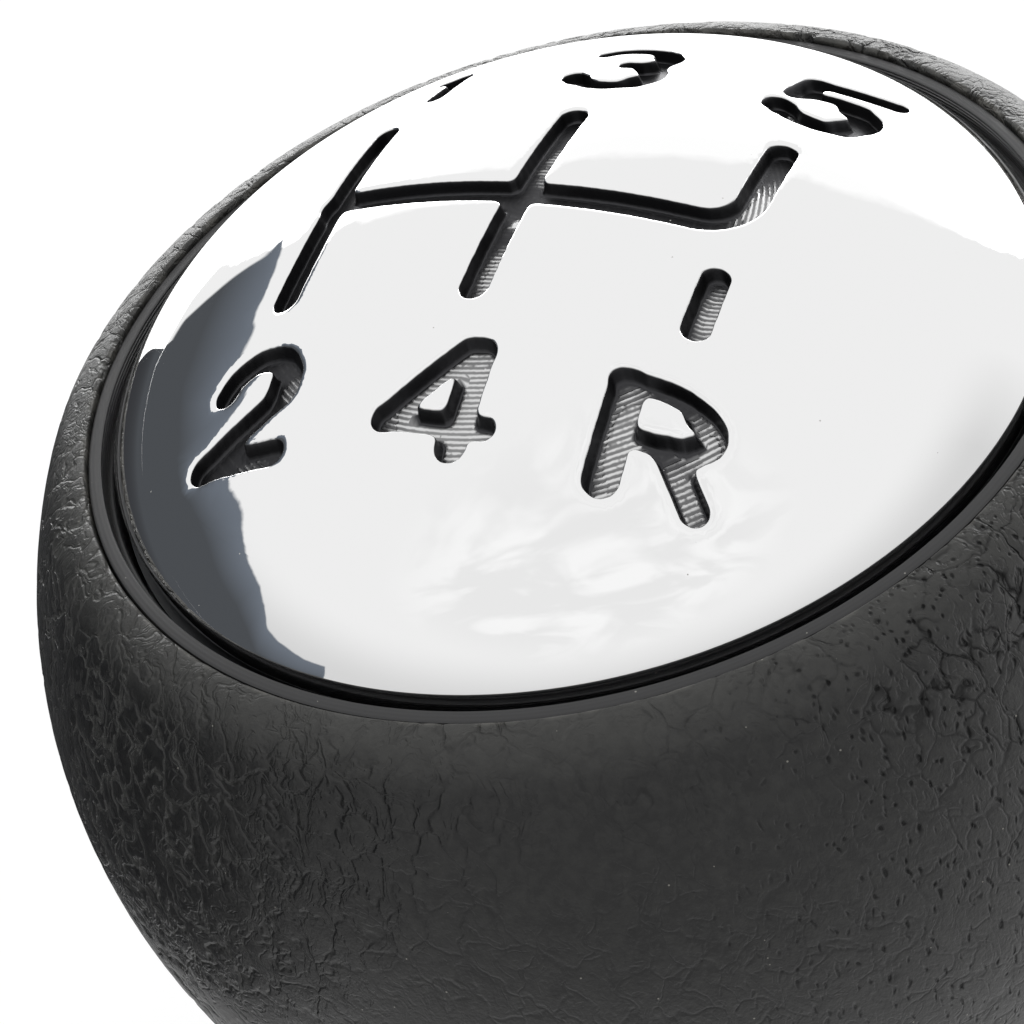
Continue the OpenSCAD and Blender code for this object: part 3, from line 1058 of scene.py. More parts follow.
@dataclass(frozen=True)
class Engraving:
    """Grooves of the plate, with rolled lips, steep walls and a floor with tool marks.

    Attributes:
        loop_step: Step of the points along a groove's edge.
        ragged: How far the edge strays from its line.
        mark_jitter: How far the points of the tool marks stray.
        crest_from: Painted shine above which a point is a crest.
        dull: Painted shine of a crest away from the places listed as painted highlights.
        row_gain: Least and most gain of one crest's shine.
        point_gain: How much that gain strays from point to point.
        gain_limits: Least and most gain at a point.
        valley: Painted shine of a valley, and how much the level beside it adds.
        glare_from: Level above which the valleys get painted shine too.
        levels: Distances from the edge of the rows of points, from outside in.
        lip: Distance from the edge and share of the depth, from the floor out to the dome.
    """

    grooves: tuple[Groove, ...] = GROOVES
    depth: float = 0.62
    grid: float = 0.04
    loop_step: float = 0.08
    ragged: float = 0.006
    mark_pitch: float = 0.19
    mark_height: float = 0.025
    mark_jitter: float = 0.007
    crest_from: float = 0.16
    dull: float = 0.03
    row_gain: Span = (0.7, 2.3)
    point_gain: float = 0.35
    gain_limits: Span = (0.25, 2.2)
    valley: Span = (0.04, 0.19)
    glare_from: float = 1.5
    glare_valley: float = 0.9
    lip_reach: float = 0.55
    levels: tuple[float, ...] = (0.1, 0.07, 0.045, 0.022, 0.0, -0.02, -0.04, -0.07, -0.11, -0.16)
    lip: tuple[tuple[float, float], ...] = (
        (-0.16, 1.0), (-0.12, 0.975), (-0.08, 0.88), (-0.045, 0.6), (-0.02, 0.28), (0.0, 0.14),
        (0.04, 0.07), (0.1, 0.038), (0.2, 0.018), (0.35, 0.006), (0.55, 0.0),
    )

    @cached_property
    def chart(self) -> tuple[np.ndarray, np.ndarray, np.ndarray]:
        """Signed distance to the nearest groove's edge on a grid, a little uneven.

        Returns:
            Places of the grid in x and in y, and its distances, at most the grooves' margin.
        """
        boxes = np.array([groove.box() for groove in self.grooves])
        low, high = boxes[:, 0].min(0) - self.grid * 4, boxes[:, 1].max(0) + self.grid * 4
        xs, ys = (np.arange(low[i], high[i], self.grid) for i in (0, 1))
        far = min(groove.margin for groove in self.grooves)
        values = np.full((len(xs), len(ys)), far)
        for groove, box in zip(self.grooves, boxes):
            (i, j), (k, m) = np.ceil((box - low) / self.grid).astype(int)
            places = np.stack(np.meshgrid(xs[i:k], ys[j:m], indexing="ij"), -1)
            part = groove.distance(places.reshape(-1, 2)).reshape(places.shape[:2])
            values[i:k, j:m] = np.minimum(values[i:k, j:m], part)
        for size, turn in ((0.31, 0.4), (0.43, 1.5), (0.57, 2.6), (0.83, 4.1)):
            across = xs[:, None] * math.cos(turn) + ys[None, :] * math.sin(turn)
            values = values + self.ragged / 2 * np.sin(2 * math.pi / size * across + turn)
        return xs, ys, values

    def distance(self, points: np.ndarray) -> np.ndarray:
        """Signed distance to the nearest groove's edge, read smoothly from the chart.

        Args:
            points: Rows of x and y.

        Returns:
            One distance a row, below 0 in a groove.
        """
        xs, ys, values = self.chart
        at = (points - (xs[0], ys[0])) / self.grid
        cell = np.clip(np.floor(at).astype(int), 1, np.array(values.shape) - 3)
        share = np.clip(at - cell, 0, 1)
        weights = [
            ((-0.5 * t + 1) * t - 0.5) * t if k == 0 else (1.5 * t - 2.5) * t * t + 1 if k == 1
            else ((-1.5 * t + 2) * t + 0.5) * t if k == 2 else (0.5 * t - 0.5) * t * t
            for k in range(4) for t in (share,)
        ]
        result = np.zeros(len(points))
        for i in range(4):
            for j in range(4):
                known = values[cell[:, 0] + i - 1, cell[:, 1] + j - 1]
                result += weights[i][:, 0] * weights[j][:, 1] * known
        return result

    def drop(self, distance: np.ndarray) -> np.ndarray:
        """Depth below the dome at a distance from a groove's edge, in millimetres."""
        fine = np.arange(-0.4, 0.8, 0.004)
        table = np.array(self.lip)
        raw = np.interp(fine, table[:, 0], table[:, 1])
        bell = np.exp(-0.5 * (np.arange(-10, 11) * 0.004 / 0.011) ** 2)
        smooth = np.convolve(np.pad(raw, 10, mode="edge"), bell / bell.sum(), mode="valid")
        return self.depth * np.interp(distance, fine, smooth)

    def loops(self) -> list[np.ndarray]:
        """Closed outlines of the grooves at the plate's surface."""
        found = []
        xs, ys, values = self.chart
        for loop in trace_zero(values, xs, ys):
            closed = np.vstack([loop, loop[:1]])
            marks = np.r_[0, np.cumsum(np.linalg.norm(np.diff(closed, axis=0), axis=1))]
            count = round(marks[-1] / self.loop_step)
            if count < 4:
                continue
            at = np.arange(count) / count * marks[-1]
            even = np.column_stack([np.interp(at, marks, closed[:, i]) for i in (0, 1)])
            found.append(self.settle(even, 0.0))
        return found

    def settle(self, points: np.ndarray, level: float) -> np.ndarray:
        """Moves points straight to a level of the distance.

        Args:
            points: Rows of x and y near that level.
            level: Distance from the edge.

        Returns:
            The moved points.
        """
        for _ in range(3):
            slope = self.slope(points)
            steep = np.maximum((slope ** 2).sum(1), 0.25)
            points = points - slope * ((self.distance(points) - level) / steep)[:, None]
        return points

    def slope(self, points: np.ndarray, reach: float = 0.006) -> np.ndarray:
        """Slope of the distance in x and y."""
        steps = np.eye(2) * reach
        return np.column_stack([
            (self.distance(points + s) - self.distance(points - s)) / (2 * reach) for s in steps
        ])


def trace_zero(values: np.ndarray, xs: np.ndarray, ys: np.ndarray) -> list[np.ndarray]:
    """Traces the closed lines on which a grid's values are zero.

    Args:
        values: Grid of values, x first.
        xs: Places of the rows.
        ys: Places of the columns.

    Returns:
        One array of points for each line.
    """
    inside = values < 0
    corners = inside[:-1, :-1] * 1 + inside[1:, :-1] * 2 + inside[1:, 1:] * 4 + inside[:-1, 1:] * 8
    place: dict[tuple[int, int, int], tuple[float, float]] = {}
    links: dict[tuple[int, int, int], list[tuple[int, int, int]]] = {}

    def crossing(i: int, j: int, upright: int) -> tuple[int, int, int]:
        """Key of the crossing on one side of a cell, with its place kept."""
        key = (i, j, upright)
        if key not in place:
            k, m = (i, j + 1) if upright else (i + 1, j)
            share = values[i, j] / (values[i, j] - values[k, m])
            place[key] = (xs[i] + share * (xs[k] - xs[i]), ys[j] + share * (ys[m] - ys[j]))
        return key

    for i, j in zip(*np.nonzero((corners > 0) & (corners < 15))):
        sides = []
        if inside[i, j] != inside[i + 1, j]:
            sides.append(crossing(i, j, 0))
        if inside[i + 1, j] != inside[i + 1, j + 1]:
            sides.append(crossing(i + 1, j, 1))
        if inside[i, j + 1] != inside[i + 1, j + 1]:
            sides.append(crossing(i, j + 1, 0))
        if inside[i, j] != inside[i, j + 1]:
            sides.append(crossing(i, j, 1))
        for a, b in zip(sides[::2], sides[1::2]):
            links.setdefault(a, []).append(b)
            links.setdefault(b, []).append(a)
    lines = []
    while links:
        start = next(iter(links))
        line, here = [], start
        while here in links:
            line.append(place[here])
            ahead = [k for k in links.pop(here) if k in links]
            if not ahead:
                break
            here = ahead[0]
        lines.append(np.array(line))
    return lines


# Pieces

@dataclass
class ShiftPlate:
    """Domed chrome plate with rolled edge, skirt, pegs and the engraved gate."""

    dome_r: float = 30.0
    shoulder_r: float = 9.0
    edge_slope: float = 33.6
    edge_r: float = 0.2
    edge_rise: float = 0.05
    top_r: float = 15.9
    wall: float = 2.0
    skirt_wall: float = 1.6
    skirt_drop: float = 1.0
    foot_round: float = 0.2
    segments: int = 320
    fill_step: float = 0.95
    lip_step: float = 0.12
    recess_edge: float = 0.022
    engraving: Engraving = Engraving()
    peg_r: float = 1.25
    peg_shoulder_r: float = 2.4
    peg_stand_out: float = 1.0
    peg_turn: float = -30.0
    peg_chamfer: float = 0.2
    peg_root: float = 0.8

    @property
    def edge_x(self) -> float:
        """Distance of the rolled edge's centre from the axis."""
        return KNOB.plate_r - self.edge_r

    @property
    def edge_z(self) -> float:
        """Height of the rolled edge's centre."""
        return KNOB.rim_z + self.edge_rise

    @property
    def shoulder(self) -> tuple[float, float]:
        """Distance of the shoulder's centre from the axis, and its height."""
        slope = math.radians(self.edge_slope)
        reach = self.shoulder_r - self.edge_r
        return self.edge_x - reach * math.cos(slope), self.edge_z - reach * math.sin(slope)

    @property
    def dome_z(self) -> float:
        """Height of the dome's centre."""
        return KNOB.plate_top_z - self.dome_r

    def height(self, points: np.ndarray, drop: np.ndarray) -> np.ndarray:
        """Height of the plate's top, which is a dome inside and a shoulder outside.

        Args:
            points: Rows of x and y.
            drop: How far each point lies below the surface, along its normal.

        Returns:
            One height a row.
        """
        x, z = self.shoulder
        turn = math.atan2(z - self.dome_z, x)
        radius = np.hypot(*points.T)
        dome = self.dome_z + np.sqrt((self.dome_r - drop) ** 2 - radius ** 2)
        bend = z + np.sqrt(np.maximum((self.shoulder_r - drop) ** 2 - (radius - x) ** 2, 0))
        return np.where(radius < (self.dome_r - drop) * math.cos(turn), dome, bend)

    def build(self) -> bpy.types.Object:
        """Makes the plate's mesh with true normals, and marks its recesses and crests.

        Returns:
            The plate's object.
        """
        loops = self.engraving.loops()
        flat, bands, inner = self._bands(loops)
        turn = np.arange(self.segments) * (2 * math.pi / self.segments)
        rim = self.top_r * np.column_stack([np.cos(turn), np.sin(turn)])
        fill = self._fill(self.top_r)
        marks, crest = self._tool_marks()
        places = np.vstack([flat, rim, fill, marks])
        marked = slice(len(places) - len(marks), len(places))
        edges = self._edges(loops, len(flat))
        triangles, added = self._triangles(places, edges, len(flat), inner)
        places = np.vstack([places, added])
        crests = np.zeros(len(places))
        crests[marked] = crest
        distance = self.engraving.distance(places)
        drop = self.engraving.drop(distance)
        height = np.where(crest > self.engraving.crest_from, 1.0, 0.0) + np.clip(crest, 0, 0.5)
        drop[marked] = self.engraving.depth + self.engraving.mark_height * (0.5 - height)
        parts = MeshParts()
        parts.add_points(np.column_stack([places, self.height(places, drop)]))
        normals = self._normals(places)
        skin_faces = bands + triangles
        on_floor = self._on_floor(skin_faces, distance)
        parts.faces.extend(skin_faces)
        rolled = self._add_underside(parts, len(flat))
        normals = np.vstack([normals, rolled])
        piece = parts.make("shift_plate_dress")
        self._finish_mesh(piece.data, parts, normals, distance, crests, on_floor)
        return piece

    def _bands(self, loops: list[np.ndarray]) -> tuple[np.ndarray, list[tuple[int, ...]], float]:
        """Rows of points along each groove's lip and wall, and the faces between them.

        Args:
            loops: Outlines of the grooves.

        Returns:
            The points, the faces and the distance of the innermost row.
        """
        levels = self.engraving.levels
        zero = levels.index(0.0)
        rows: list[np.ndarray] = [np.empty(0)] * len(levels)
        everything = np.vstack(loops)
        rows[zero] = everything
        for way in (-1, 1):
            here, k = everything, zero + way
            while 0 <= k < len(levels):
                here = self.engraving.settle(here, levels[k])
                rows[k] = here
                k += way
        size, faces, first = len(everything), [], 0
        for loop in loops:
            n = len(loop)
            flip = self.engraving.distance(loop[:1] + 0.05 * self._left(loop)[:1])[0] > 0
            for k in range(len(levels) - 1):
                for i in range(n):
                    a, b = k * size + first + i, k * size + first + (i + 1) % n
                    quad = (a, b, b + size, a + size)
                    faces.append(quad[::-1] if flip else quad)
            first += n
        return np.vstack(rows), faces, levels[-1]

    @staticmethod
    def _left(loop: np.ndarray) -> np.ndarray:
        """Direction to the left of travel at each point of a loop."""
        along = np.roll(loop, -1, 0) - loop
        along /= np.linalg.norm(along, axis=1)[:, None]
        return np.column_stack([-along[:, 1], along[:, 0]])

    def _edges(self, loops: list[np.ndarray], count: int) -> list[tuple[int, int]]:
        """Edges that the triangles keep: the outermost and innermost rows, and the rim."""
        edges, first, size = [], 0, sum(map(len, loops))
        last = (len(self.engraving.levels) - 1) * size
        for loop in loops:
            n = len(loop)
            for i in range(n):
                j = (i + 1) % n
                edges += [(first + i, first + j), (last + first + i, last + first + j)]
            first += n
        edges += [(count + i, count + (i + 1) % self.segments) for i in range(self.segments)]
        return edges

    def _fill(self, rim_r: float) -> np.ndarray:
        """Points on the dome: open rings, and a fine grid beside the grooves."""
        rings = [np.zeros((1, 2))]
        for k in range(1, int(rim_r / self.fill_step)):
            n = max(6, round(2 * math.pi * k))
            turn = np.arange(n) * (2 * math.pi / n) + 0.5 * k
            rings.append(self.fill_step * k * np.column_stack([np.cos(turn), np.sin(turn)]))
        near_rim = np.arange(self.segments // 2) * (4 * math.pi / self.segments) + 0.01
        rings.append((rim_r - 0.35) * np.column_stack([np.cos(near_rim), np.sin(near_rim)]))
        coarse = np.vstack(rings)
        coarse = coarse[self.engraving.distance(coarse) > self.engraving.lip_reach + 0.1]
        side = np.arange(-rim_r, rim_r, self.lip_step)
        rows = [
            np.column_stack([side + (i % 2) * self.lip_step / 2, np.full(len(side), y)])
            for i, y in enumerate(side)
        ]
        fine = np.vstack(rows)
        fine = fine[np.hypot(*fine.T) < rim_r - 0.3]
        distance = self.engraving.distance(fine)
        keep = (distance > self.engraving.levels[0] + 0.06) & (distance < self.engraving.lip_reach)
        return np.vstack([coarse, fine[keep]])

    def _tool_marks(self) -> tuple[np.ndarray, np.ndarray]:
        """Points on the crests and valleys of the floors' tool marks.

        Returns:
            The points, and how much each shines, as a painted highlight level.
        """
        work, rng = self.engraving, np.random.default_rng(5)
        third, points, shines = work.mark_pitch / 3, [], []
        for groove in work.grooves:
            low, high = groove.box()
            if groove.marks is ToolMarks.ACROSS:
                xs = np.arange(low[0], high[0], 0.09)
                sets = [
                    np.column_stack([xs, y + 0.05 * np.sin(xs * 6)])
                    for y in np.arange(low[1], high[1], third)
                ]
            else:
                sets = []
                for k in range(1, int(np.hypot(*np.maximum(np.abs(low), np.abs(high))) / third)):
                    n = max(8, int(2 * math.pi * k * third / 0.1))
                    turn = np.arange(n) * (2 * math.pi / n) + 0.37 * k
                    sets.append(k * third * np.column_stack([np.cos(turn), np.sin(turn)]))
            for k, row in enumerate(sets):
                row = row[np.all((row > low) & (row < high), axis=1)]
                row = row[groove.distance(row) < work.levels[-1] - 0.05] if len(row) else row
                if not len(row):
                    continue
                row = row + rng.normal(0, work.mark_jitter, row.shape)
                level = np.full(len(row), work.dull)
                # Painted highlights: a point's shine comes from the places of painted highlights.
                for x, y, reach_x, reach_y, strength in MARK_HIGHLIGHTS:
                    away = ((row[:, 0] - x) / reach_x) ** 2 + ((row[:, 1] - y) / reach_y) ** 2
                    level = np.maximum(level, strength * np.exp(-away ** 2))
                gain = rng.uniform(*work.row_gain) + rng.normal(0, work.point_gain, len(row))
                broken = np.clip(gain, *work.gain_limits)
                points.append(row)
                low_shine = work.valley[0] + work.valley[1] * level
                valley = np.where(level > work.glare_from, work.glare_valley, low_shine)
                shines.append(np.minimum(level * broken, 1) if k % 3 == 1 else valley)
        return np.vstack(points), np.concatenate(shines)

    def _triangles(
        self,
        places: np.ndarray,
        edges: list[tuple[int, int]],
        band_count: int,
        inner: float,
    ) -> tuple[list[tuple[int, ...]], np.ndarray]:
        """Triangles of the dome and the floors, with the bands left out.

        Args:
            places: All points on the plate.
            edges: Edges that are kept.
            band_count: Number of points in the bands.
            inner: Distance of the innermost row.

        Returns:
            The triangles, anticlockwise from above, and points added where edges met.
        """
        size = band_count // len(self.engraving.levels)
        used = np.r_[0:size, band_count - size:len(places)]
        number = {int(g): i for i, g in enumerate(used)}
        result = delaunay_2d_cdt(
            [Vector(p) for p in places[used].tolist()],
            [(number[a], number[b]) for a, b in edges], [], 0, 1e-6,
        )
        added = [tuple(v) for v, known in zip(result[0], result[3]) if not known]
        new = iter(range(len(places), len(places) + len(added)))
        back = [int(used[known[0]]) if known else next(new) for known in result[3]]
        faces = np.array([[back[v] for v in face] for face in result[2]])
        extra = np.array(added).reshape(-1, 2)
        middle = np.vstack([places, extra])[faces].mean(1)
        distance = self.engraving.distance(middle)
        outer_row = (faces < size).sum(1)
        inner_row = ((faces >= band_count - size) & (faces < band_count)).sum(1)
        free = outer_row + inner_row < 3
        keep = np.where(
            outer_row == 3, distance > self.engraving.levels[0],
            np.where(inner_row == 3, distance < inner, free),
        )
        return [tuple(f) for f in faces[keep].tolist()], extra

    def _normals(self, places: np.ndarray) -> np.ndarray:
        """True normals of the dome with its lips and walls."""
        reach = 0.004

        def surface(points: np.ndarray) -> np.ndarray:
            """Height of the surface with its grooves."""
            return self.height(points, self.engraving.drop(self.engraving.distance(points)))

        slope = [(surface(places + s) - surface(places - s)) / (2 * reach) for s in np.eye(2) * reach]
        normal = np.column_stack([-slope[0], -slope[1], np.ones(len(places))])
        return normal / np.linalg.norm(normal, axis=1)[:, None]

    def _on_floor(self, faces: list[tuple[int, ...]], distance: np.ndarray) -> np.ndarray:
        """Which faces lie wholly on a groove's floor."""
        limit = self.engraving.levels[-1] + 0.004
        return np.array([all(distance[v] < limit for v in face) for face in faces])

    def _add_underside(self, parts: MeshParts, rim_start: int) -> np.ndarray:
        """Adds the shoulder, the edge, the skirt, the hollow underside and the pegs.

        Args:
            parts: Mesh that gets them.
            rim_start: Number of the rim's first point.

        Returns:
            True normals of the new points, or zeros where they aren't known.
        """
        foot_z = KNOB.rim_z - self.skirt_drop
        inner_r, hollow_r = KNOB.plate_r - self.skirt_wall, self.dome_r - self.wall
        soft = self.foot_round
        hollow_start = math.degrees(math.acos(inner_r / hollow_r))
        x, z = self.shoulder
        start = math.degrees(math.acos((self.top_r - x) / self.shoulder_r))
        shoulder = arc(x, z, self.shoulder_r, start, self.edge_slope, 30)[1:]
        edge = arc(self.edge_x, self.edge_z, self.edge_r, self.edge_slope, 0, 8)[1:]
        profile = np.vstack([
            shoulder,
            edge,
            arc(KNOB.plate_r - soft, foot_z + soft, soft, 0, -90, 4),
            arc(inner_r + soft, foot_z + soft, soft, -90, -180, 4),
            arc(0, self.dome_z, hollow_r, hollow_start, 89, 24),
        ])
        first = parts.add_turned(profile, self.segments, closed=False)
        rings = len(profile)
        for i in range(self.segments):
            j = (i + 1) % self.segments
            a, b = first + i * rings, first + j * rings
            parts.faces.append((rim_start + i, a, b, rim_start + j))
        centre = parts.add_points(np.array([[0, 0, self.dome_z + hollow_r]]))
        last = rings - 1
        for i in range(self.segments):
            j = (i + 1) % self.segments
            parts.faces.append((first + i * rings + last, centre, first + j * rings + last))
        for i in range(3):
            turn = math.radians(self.peg_turn + 120 * i)
            root_z = self.dome_z + math.sqrt(hollow_r ** 2 - KNOB.fixing_r ** 2) + self.peg_root
            tip_z = KNOB.carrier_z - self.peg_stand_out
            peg = np.array([
                (CLOSED_R, tip_z), (self.peg_r - self.peg_chamfer, tip_z),
                (self.peg_r, tip_z + self.peg_chamfer),
                (self.peg_r, KNOB.shelf_z), (self.peg_shoulder_r, KNOB.shelf_z),
                (self.peg_shoulder_r, root_z), (CLOSED_R, root_z),
            ])
            parts.add_turned(
                peg, 40, centre=(KNOB.fixing_r * math.cos(turn), KNOB.fixing_r * math.sin(turn))
            )
        flat = np.zeros((parts.count - first, 3))
        for i in range(self.segments):
            turn = i * 2 * math.pi / self.segments
            for j, (middle, row) in enumerate(
                [((x, z), p) for p in shoulder] + [((self.edge_x, self.edge_z), p) for p in edge]
            ):
                out = (row - middle) / np.linalg.norm(row - middle)
                flat[i * rings + j] = out[0] * math.cos(turn), out[0] * math.sin(turn), out[1]
        return flat

    def _finish_mesh(
        self,
        mesh: bpy.types.Mesh,
        parts: MeshParts,
        normals: np.ndarray,
        distance: np.ndarray,
        crests: np.ndarray,
        on_floor: np.ndarray,
    ) -> None:
        """Sets the normals and the attributes that the chrome reads.

        Args:
            mesh: The plate's mesh.
            parts: Its vertices and faces.
            normals: True normals of the points, or zeros where they aren't known.
            distance: Distance of the top's points from a groove's edge.
            crests: How much each of the top's points shines, as a painted highlight level.
            on_floor: Which of the first faces lie on a floor.
        """
        smooth = np.ones(len(mesh.polygons), bool)
        smooth[:len(on_floor)] = ~on_floor
        mesh.polygons.foreach_set("use_smooth", smooth)
        mesh.update()
        loop_vertex = np.zeros(len(mesh.loops), int)
        mesh.loops.foreach_get("vertex_index", loop_vertex)
        loop_normal = np.zeros(len(mesh.loops) * 3)
        mesh.corner_normals.foreach_get("vector", loop_normal)
        loop_normal = loop_normal.reshape(-1, 3)
        loop_face = np.repeat(np.arange(len(mesh.polygons)), [len(p.vertices) for p in mesh.polygons])
        known = np.linalg.norm(normals, axis=1) > 0.5
        skirt = np.array([p.normal.z < 0.02 for p in mesh.polygons])
        top = known[loop_vertex] & smooth[loop_face] & ~skirt[loop_face]
        loop_normal[top] = normals[loop_vertex[top]]
        mesh.normals_split_custom_set(loop_normal.tolist())
        recess = np.zeros(parts.count)
        recess[:len(distance)] = np.clip(1 - distance / self.recess_edge, 0, 1)
        crest = np.zeros(parts.count)
        crest[:len(crests)] = crests
        for name, values in (("recess", recess), ("crest", crest)):
            mesh.attributes.new(name, "FLOAT", "POINT").data.foreach_set("value", values)

    def dress(self, piece: bpy.types.Object) -> None:
        """Plates the piece and puts it in place."""
        seat_piece(piece, "shift_plate", PolishedChrome())


@dataclass
class TrimRing:
    """Satin black ring with a flat land, a stepped bore with turned lines, and a flange."""

    land: float = 0.55
    chamfer: float = 0.12
    edge: float = 0.05
    step_z: float = 0.8
    step_w: float = 0.2
    flange_w: float = 2.35
    line_pitch: float = 0.16
    line_depth: float = 0.03
    lined_h: float = 2.2
    segments: int = 360

    def build(self) -> bpy.types.Object:
        """Turns the ring's profile.

        Returns:
            The ring's object.
        """
        bore, low_bore = KNOB.ring_r - self.land, KNOB.ring_r - self.land - self.step_w
        top, seat, soft = KNOB.rim_z, KNOB.seat_z, self.chamfer * 0.3
        profile = np.vstack([
            [(KNOB.ring_r - self.flange_w, seat), (KNOB.ring_r, seat)],
            [(KNOB.ring_r, top - self.chamfer), (KNOB.ring_r - soft, top - soft),
             (KNOB.ring_r - self.chamfer, top)],
            arc(bore + self.edge, top - self.edge, self.edge, 90, 180, 4),
            self._lines(bore, top - self.edge, top - self.step_z),
            [(bore, top - self.step_z)],
            [(low_bore + self.edge, top - self.step_z), (low_bore, top - self.step_z - self.edge)],
            self._lines(low_bore, top - self.step_z - self.edge, top - self.lined_h),
            [(low_bore, KNOB.carrier_z), (KNOB.ring_r - self.flange_w, KNOB.carrier_z)],
        ])
        parts = MeshParts()
        parts.add_turned(profile, self.segments)
        return parts.make("trim_ring_dress", 30)

    def _lines(self, radius: float, start_z: float, end_z: float) -> np.ndarray:
        """Turned lines down a bore: shallow cuts into the wall, one a pitch."""
        rows = []
        for i in range(int((start_z - end_z) / self.line_pitch)):
            z = start_z - i * self.line_pitch
            rows += [
                (radius, z - 0.3 * self.line_pitch),
                (radius + self.line_depth, z - 0.55 * self.line_pitch),
                (radius, z - 0.8 * self.line_pitch),
            ]
        return np.array(rows)

    def dress(self, piece: bpy.types.Object) -> None:
        """Gives the ring its satin black and puts it in place."""
        seat_piece(piece, "trim_ring", SatinBlackPlastic())


@dataclass
class GripSkin:
    """Moulded skin of the ball and neck, with leather grain in its mesh and a turned-in lip."""

    step: float = 0.31
    segments: int = 500
    grain_share: float = 0.9
    lip_wall: float = 1.5

    def build(self) -> bpy.types.Object:
        """Turns the skin's profile and presses the grain into its outside.

        Returns:
            The skin's object.
        """
        outside, inside = self._profiles()
        parts = MeshParts()
        parts.add_turned(np.vstack([outside, inside]), self.segments)
        piece = parts.make("grip_skin_dress", 60)
        outer = np.zeros(len(piece.data.vertices))
        outer.reshape(self.segments, -1)[:, 2:len(outside) - 2] = 1.0
        piece.data.attributes.new("outside", "FLOAT", "POINT").data.foreach_set("value", outer)
        self._press_grain(piece)
        return piece

    def _profiles(self) -> tuple[np.ndarray, np.ndarray]:
        """Profile of the outside from the collar up to the lip, and of the inside back down."""
        k = KNOB
        blend_x = k.neck_r + k.neck_blend
        blend_a = math.degrees(math.atan2(k.ball_z - k.blend_z, blend_x))
        lip_z = k.rim_z + k.lip_rise - k.lip_round
        lip_x = math.sqrt((k.ball_r - k.lip_round) ** 2 - (lip_z - k.ball_z) ** 2)
        lip_a = math.degrees(math.atan2(lip_z - k.ball_z, lip_x))
        corner_x = lip_x + k.lip_inset + k.lip_edge
        end_a = math.degrees(math.acos((corner_x - lip_x) / k.lip_round))
        corner_z = lip_z + k.lip_round * math.sin(math.radians(end_a)) - k.lip_edge
        long = spaced(np.vstack([
            [(k.neck_r, k.collar_h)],
            arc(blend_x, k.blend_z, k.neck_blend, 180, 180 - blend_a, 16),
            arc(0, k.ball_z, k.ball_r, -blend_a, lip_a, 120),
            arc(lip_x, lip_z, k.lip_round, lip_a, end_a, 16),
        ]), self.step)
        turned_in = arc(corner_x, corner_z, k.lip_edge, 90, 180, 6)[1:]
        outside = np.vstack([long, turned_in, [(lip_x + k.lip_inset, k.rim_z - self.lip_wall)]])
        core_r = k.ball_r - k.grip_wall
        seat_a = math.degrees(math.asin((k.seat_z - k.ball_z) / core_r))
        inside = np.vstack([
            [(lip_x + k.lip_inset, k.seat_z)],
            arc(0, k.ball_z, core_r, seat_a, -blend_a, 20),
            arc(blend_x, k.blend_z, k.neck_blend + k.grip_wall, 180 - blend_a, 180, 5)[1:],
            [(k.core_neck_r, k.collar_h)],
        ])
        return outside, inside

    def _press_grain(self, piece: bpy.types.Object) -> None:
        """Moves the outside along its normals by the grain's relief, and keeps the result."""
        tree = bpy.data.node_groups.new("press_grain", "GeometryNodeTree")
        tree.interface.new_socket("Mesh", in_out="INPUT", socket_type="NodeSocketGeometry")
        tree.interface.new_socket("Mesh", in_out="OUTPUT", socket_type="NodeSocketGeometry")
        start = add_node(tree, "NodeGroupInput")
        place = first(tree, "GeometryNodeInputPosition")
        millimetres = first(tree, "VectorMath.SCALE", {0: place, "Scale": 1 / MM})
        relief = GRAIN.height(tree, millimetres, fine=False)
        outer = first(tree, "GeometryNodeInputNamedAttribute", {"Name": "outside"}, data_type="FLOAT")
        share = first(tree, "Math.MULTIPLY", {0: relief, 1: outer})
        travel = first(tree, "Math.MULTIPLY", {0: share, 1: self.grain_share * MM})
        normal = first(tree, "GeometryNodeInputNormal")
        offset = first(tree, "VectorMath.SCALE", {0: normal, "Scale": travel})
        moved = first(tree, "GeometryNodeSetPosition", {"Geometry": start.outputs[0], "Offset": offset})
        add_node(tree, "NodeGroupOutput", {0: moved})
        piece.modifiers.new("grain", "NODES").node_group = tree
        evaluated = piece.evaluated_get(bpy.context.evaluated_depsgraph_get())
        pressed = bpy.data.meshes.new_from_object(evaluated)
        piece.modifiers.clear()
        old, piece.data = piece.data, pressed
        bpy.data.meshes.remove(old)
        pressed.name = piece.name

    def dress(self, piece: bpy.types.Object) -> None:
        """Gives the skin its grain and puts it in place."""
        seat_piece(piece, "grip_skin", GrainedSkin())


@dataclass
class NeckCollar:
    """Black collar that is snapped on under the neck, with a rounded foot and a fine bead."""

    radius: float = 13.4
    way_r: float = 7.0
    way_round: float = 0.25
    floor: float = 1.6
    round_r: float = 0.6
    bead_z: float = 3.0
    bead_h: float = 0.35
    bead_w: float = 0.5
    fit: float = 0.05
    segments: int = 256

    def build(self) -> bpy.types.Object:
        """Turns the collar's profile.

        Returns:
            The collar's object.
        """
        wall_r = KNOB.core_neck_r + self.fit
        outer = self.radius - self.round_r
        low = self.bead_z - self.bead_w / 2 - self.fit
        high = self.bead_z + self.bead_w / 2 + self.fit
        profile = np.vstack([
            arc(self.way_r + self.way_round, self.way_round, self.way_round, 180, 270, 5),
            arc(outer, self.round_r, self.round_r, -90, 0, 8),
            arc(outer, KNOB.collar_h - self.round_r, self.round_r, 0, 90, 8),
            [(wall_r, KNOB.collar_h), (wall_r, high + self.bead_h), (wall_r + self.bead_h, high),
             (wall_r + self.bead_h, low), (wall_r, low - self.bead_h), (wall_r, self.floor),
             (self.way_r, self.floor)],
        ])
        parts = MeshParts()
        parts.add_turned(profile, self.segments)
        return parts.make("neck_collar_dress", 30)

    def dress(self, piece: bpy.types.Object) -> None:
        """Gives the collar its black and puts it in place."""
        seat_piece(piece, "neck_collar", BLACK_NYLON)


